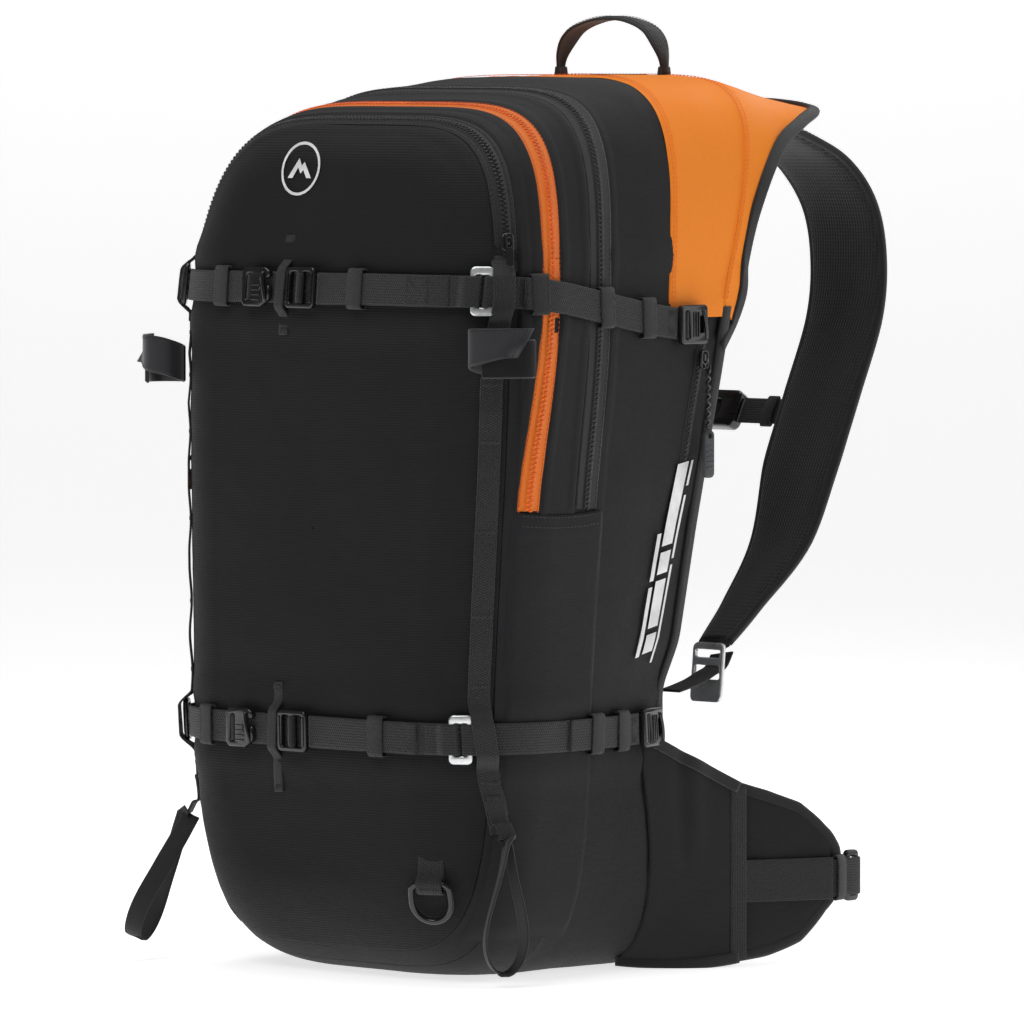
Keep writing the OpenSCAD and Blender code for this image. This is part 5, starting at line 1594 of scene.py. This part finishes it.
BLENDS = {}
for side, tag in ((1, "right"), (-1, "left")):
    c = stations(70)
    d = tangents(np.stack([c[:, 0], c[:, 1], 0 * c[:, 0]], -1))
    n = np.stack([d[:, 1], -d[:, 0], 0 * d[:, 0]], -1)
    k = np.linspace(-1, 1, 40)
    bulge = np.clip(1 - np.abs(k) ** 5, 0, 1) ** 0.5
    endf = smooth(np.linspace(1, 0, len(c)) * 9)[:, None] ** 0.6
    top = c[:, None, :3] + ARR([0.0, 0, 1]) * (k[None] * (c[:, 3] - 2.2)[:, None])[..., None]
    outer = top + n[:, None] * (0.8 + 4.4 * c[:, 4][:, None] * bulge[None] * (0.35 + 0.65 * endf))[...,
        None]
    inner = top[:, ::-1] - n[:, None] * (0.8 + 4.4 * c[:, 4][:, None] * bulge[None,
        ::-1] * (0.35 + 0.65 * endf))[..., None]
    P = np.concatenate([outer, inner], 1)
    P = P + n[:, None] * (0.7 * noise3(P, 32, 80 + side) + 0.25 * noise3(P, 12, 82))[..., None]
    P = mirror(P) if side < 0 else P
    pad = grid(f"hip_pad_{tag}", P, M["side"], loop_j=True, caps=True)
    pad.data.materials.append(M["mesh"])
    nj = P.shape[1]
    pad.data.polygons.foreach_set("material_index", [1 if (i % nj) >= 40 else 0
        for i in range(len(pad.data.polygons) - 2)] + [0, 0])
    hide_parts(f"hip_wing_{tag}")
    # binding round the edge of the wing
    e_top = c[:, :3] + ARR([0.0, 0, 1]) * (c[:, 3] - 2.4)[:, None]
    e_bot = c[:, :3] - ARR([0.0, 0, 1]) * (c[:, 3] - 2.4)[:, None]
    tip = []
    for a in np.radians(np.linspace(80, -80, 16)):
        tip.append(c[-1, :3] + d[-1] * 2.6 * math.cos(a) + ARR([0, 0, 1.0]) * (c[-1, 3]
            - 2.4) * math.sin(a))
    E = resample(np.concatenate([e_top, ARR(tip), e_bot[::-1]]), 2.5)
    cy = E[:, 1]
    nn = unit(np.stack([np.interp(cy, c[:, 1], n[:, 0]), np.interp(cy, c[:, 1], n[:, 1]), 0 * cy], -1))
    Te = tangents(E)
    Se = np.cross(nn, Te)
    E, Se, nn = (mirror(E), mirror(Se), mirror(nn)) if side < 0 else (E, Se, nn)
    bind = sweep(f"hip_binding_{tag}", E, Se, rrect(8.5, 7.0, 3.0, 4), M["binding"], N=nn)
    # belt webbing, wide elastic band and folded end
    zc = 54.0
    inner_pts = c[20:, :3].copy()
    inner_pts[:, 2] = zc
    line = inner_pts + n[20:] * (5.0 + 1.4)
    line = np.concatenate([line, hood([line[-1], (172.2, 106, zc), (172.3, 113.5, zc), (171.8, 121.2, zc),
        (168.5, 124.2, zc)], 6)[1:]])
    line = line if side > 0 else mirror(line)
    web = sweep(f"hip_web_{tag}", line, (0, 0, 1), web_profile(24, 1.6, 8), M["web"])
    band = inner_pts[4:44] + n[24:64] * (5.0 + 2.9)
    band = band if side > 0 else mirror(band)
    el = sweep(f"hip_band_{tag}", band, (0, 0, 1), web_profile(27, 1.0, 8), M["elastic"])
    kp = []
    dd = unit(line[-20] - line[-24])
    nr = unit(ARR([dd[1], -dd[0], 0.0])) * (1 if side > 0 else -1)
    for a in np.linspace(0, 2 * math.pi, 32, endpoint=False):
        kp.append(line[-22] + ARR([0, 0, 1.0]) * 14.2 * (abs(math.cos(a)) ** 0.4) * (1 if math.cos(a) > 0
            else -1) + nr * 2.4 * math.sin(a))
    kl = sweep(f"hip_keeper_{tag}", ARR(kp), dd, rrect(11, 1.1, 0.5, 2), M["elastic"], loop=True)
    allw = join(f"hip_webbing_{tag}_all", [web, el, kl])
    piece(allw, f"wing_{tag}", "webbing", f"hip_webbing_{tag}")
    BLENDS[tag] = (pad, bind)
    for ob in (pad, bind):
        x0 = 0.1325 * side
        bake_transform(ob)

# cloth from the pack's side over the front of each wing
for side, tag in ((1, "right"), (-1, "left")):
    pad, bind = BLENDS[tag]
    c = stations(70)
    d = tangents(np.stack([c[:, 0], c[:, 1], 0 * c[:, 0]], -1))
    n = np.stack([d[:, 1], -d[:, 0], 0 * d[:, 0]], -1)
    k = np.linspace(-1, 1, 60)
    start = 24
    cols = []
    for s in np.linspace(0, 1, 34):
        # from a line on the pack's side to a line on the wing
        z_body = clamp(4 + (k + 1) / 2 * 150, 4, 150)
        body_pt = at_height(back_t(z_body) - 26, z_body, 1, 1.6)
        ci = c[start]
        wing_pt = np.stack([ci[0] + 0 * k, ci[1] + 0 * k, ci[2] + k * (ci[3] - 2.0)], -1) + n[start] * 7.4
        mid_pt = np.stack([136 + 0 * k, -2 + 0 * k, 66 + k * 66], -1) + ARR([2.5, 0, 0])
        cols.append(body_pt * (1 - s) ** 2 + mid_pt * 2 * s * (1 - s) + wing_pt * s**2)
    P = ARR(cols)
    sh = np.linspace(0, 1, 34)[:, None]
    fold = 1.5 * np.exp(-(((sh - 0.55) / 0.10) ** 2)) * smooth((P[..., 2]
        - 60) / 40) - 1.3 * np.exp(-(((sh - 0.40) / 0.08) ** 2)) * smooth((P[..., 2] - 50) / 40)
    P = pushed(P, (relief(P, 0.8, 90 + side) + fold) * smooth(sh * 6) * smooth((1 - sh) * 8),
        away=(0, 60, 60))
    P = mirror(P) if side < 0 else P
    under = pushed(P, 0 * P[..., 0] - 1.2, away=(0, 60, 60))
    cloth = grid(f"hip_side_cloth_{tag}", np.concatenate([P, under[:, ::-1]], 1), M["side"], loop_j=True,
        caps=True)
    # webbing sewn down the wing where the cloth ends, and the cloth's bound edges
    strip_line = P[-1] + (mirror(n[start]) if side < 0 else n[start]) * 0.9
    strip = sweep(f"hip_strip_{tag}", strip_line, mirror(d[start]) if side < 0 else d[start],
        web_profile(11, 1.2, 5), M["web"])
    edge_hi = sweep(f"hip_cloth_edge_{tag}", P[:, -1], (0, 0, 1), rrect(7.5, 5.0, 2.0, 4), M["binding"])
    edge_lo = sweep(f"hip_cloth_foot_{tag}", P[:, 0], (0, 0, 1), rrect(7.5, 4.0, 1.8, 4), M["binding"])
    x0 = 0.1325 * side
    for ob in (cloth, strip, edge_hi, edge_lo):
        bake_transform(ob)

be = ARR([165.5, 118.0, 54.0])
F = (be, ARR([0.0, 1, 0]), ARR([0.0, 0, 1]), ARR([1.0, 0, 0]))
piece(plate("hip_ring_frame", rounded(12, 33, 3.4, 8), [rounded(5, 24, 1.6)], 4.0, F, M["gloss"], 1.2),
    "hip_ring", "black_hardware", "hip_ring")
F = (mirror(be), ARR([0.0, 1, 0]), ARR([0.0, 0, 1]), ARR([-1.0, 0, 0]))
hk = plate("hip_hook_frame", [(-6, -12), (-3, -15), (3, -15), (6, -12), (6, -4), (3.4, -3.4), (3.2, 3.4),
    (6, 4), (6, 12), (3, 15), (-3, 15), (-6, 12)], [], 4.0, F, M["gloss"], 1.1)
piece(hk, "hip_hook", "black_hardware", "hip_hook")

# ---------- printed marks ----------
def printed(name, outline, holes, at, mat):
    """A thin printed shape, drawn flat and laid on the cloth by at(x, y, lift)."""
    F = (ARR([0.0, 0, 0]), ARR([1.0, 0, 0]), ARR([0.0, 1, 0]), ARR([0.0, 0, 1]))
    ob = plate(name, outline, holes, 0.16, F, mat, 0.05)
    bm = bmesh.new()
    bm.from_mesh(ob.data)
    bmesh.ops.triangulate(bm, faces=bm.faces)
    long = [e for e in bm.edges if e.calc_length() > 0.003]
    bmesh.ops.subdivide_edges(bm, edges=long, cuts=3)
    bm.to_mesh(ob.data)
    bm.free()
    v = np.empty(len(ob.data.vertices) * 3)
    ob.data.vertices.foreach_get("co", v)
    v = v.reshape(-1, 3) / MM
    ob.data.vertices.foreach_set("co", (at(v[:, 0], v[:, 1], v[:, 2]) * MM).ravel())
    ob.data.update()
    return ob


def circle(r):
    return [(r * math.cos(a), r * math.sin(a)) for a in np.linspace(0, 2 * math.pi, 64, endpoint=False)]


CX, CZ = -27.0, 509.0
mark = lambda x, y, d: on_face(CX + x, CZ + y, 1.55 + d)
obs = [printed("mark_ring", circle(17.0), [circle(15.2)], mark, M["printed"])]
obs.append(printed("mark_peak", [(-10.5, -6.0), (-2.5, 6.5), (0.6, 1.8), (2.6, 4.2), (10.5, -6.0),
    (6.2, -6.0), (2.4, -0.8), (0.4, -3.2), (-2.4, 0.8), (-6.2, -6.0)], [], mark, M["printed"]))
piece(join("front_mark", obs), "pack", "shell_fabric")


def side_mark(x, y, d):
    z = 262 + y
    return at_height(back_t(z) - 36 + x + 0.11 * y, z, 1, 1.9 + d)


obs = []
for i, (x0, y0, w, h) in enumerate(((-8, -62, 4, 44), (-8, -14, 4, 30), (-1, -60, 11, 12),
        (-1, -44, 11, 30), (-1, -10, 11, 14), (-1, 8, 11, 52), (12.5, -66, 2.2, 62), (12.5, 0, 2.2, 40),
        (12.5, 46, 2.2, 16))):
    rise = 0.16 * w
    bar = [(x0, y0), (x0 + w, y0 + rise), (x0 + w, y0 + h + rise), (x0, y0 + h)]
    obs.append(printed(f"side_bar_{i}", bar, [], side_mark, M["printed"]))
piece(join("side_mark", obs), "pack", "shell_fabric")

# ---------- hard parts inside keep their solids with a better finish ----------
for node, key in (("frame_sheet", "frame_plastic"), ("frame_stays", "steel"),
        ("inflator_body", "frame_plastic"), ("gas_cartridge", "steel"), ("valve_plunger", "brass"),
        ("airbag_bundle", "airbag")):
    ob = bpy.data.objects[node]
    ob.data.materials.clear()
    ob.data.materials.append(M[key])

# ---------- studio ----------
def stage_floor():
    """A white floor that curves up into a low wall behind the pack."""
    ys = [-9.0, 0.0, 2.5, 3.2, 3.7, 4.0, 4.1]
    zs = [0.0, 0.0, 0.0, 0.08, 0.28, 0.52, 0.72]
    a = math.radians(44)
    fwd, right = ARR([-math.sin(a), math.cos(a), 0]), ARR([math.cos(a), math.sin(a), 0])
    P = ARR([[right * s + fwd * y + ARR([0, 0, z]) for s in np.linspace(-6, 6, 9)] for y,
        z in zip(ys, zs)]) / MM
    g = Graph("studio_white")
    g.set(Base_Color=(0.80, 0.80, 0.80, 1), Roughness=0.9, Emission_Color=(1, 1, 1, 1),
        Emission_Strength=0.70)
    ob = grid("studio_floor", P, g.m, away=(0, 0, -9000))
    ob.location.z = -0.0006
    ob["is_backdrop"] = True


stage_floor()


def lamp(name, at, target, size, power, size_y=None):
    """A white area light at at, facing target."""
    li = bpy.data.lights.new(name, "AREA")
    li.shape, li.size, li.size_y = "RECTANGLE", size, size_y or size
    li.energy = power
    ob = bpy.data.objects.new(name, li)
    bpy.context.collection.objects.link(ob)
    ob.location = at
    ob.rotation_euler = (Vector(target) - Vector(at)).to_track_quat("-Z", "Y").to_euler()


AZ, EL, DIST = math.radians(44), math.radians(2.78), 6.18
BACK = Vector((math.sin(AZ) * math.cos(EL), -math.cos(AZ) * math.cos(EL), math.sin(EL)))
RIGHT = Vector((math.cos(AZ), math.sin(AZ), 0))
AIM = Vector((-0.0009, -0.0209, 0.2868))
UPV = Vector((0, 0, 1))
lamp("key", AIM + BACK * 1.5 - RIGHT * 1.2 + UPV * 2.3, AIM, 1.5, 26)
lamp("right", AIM + BACK * 0.2 + RIGHT * 2.1 + UPV * 0.9, AIM, 1.5, 12, size_y=2.2)
lamp("top", AIM + UPV * 2.2 - BACK * 0.3, AIM, 1.6, 24)
lamp("rim", AIM - BACK * 1.8 + RIGHT * 1.2 + UPV * 1.0, AIM, 1.2, 12)

world = bpy.data.worlds.new("studio")
bpy.context.scene.world = world
world.use_nodes = True
world.node_tree.nodes["Background"].inputs[0].default_value = (1, 1, 1, 1)
world.node_tree.nodes["Background"].inputs[1].default_value = 0.10
bpy.context.scene.view_settings.view_transform = "Standard"

cam = bpy.data.cameras.new("camera")
cam.lens, cam.sensor_width = 337.6, 36.0
cam.dof.use_dof = False
eye = bpy.data.objects.new("camera", cam)
bpy.context.collection.objects.link(eye)
eye.location = AIM + BACK * DIST
eye.rotation_euler = (-BACK).to_track_quat("-Z", "Y").to_euler()
bpy.context.scene.camera = eye

[[list(map(float, p)) for p in b] for b in (SIZE_BEFORE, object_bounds())]
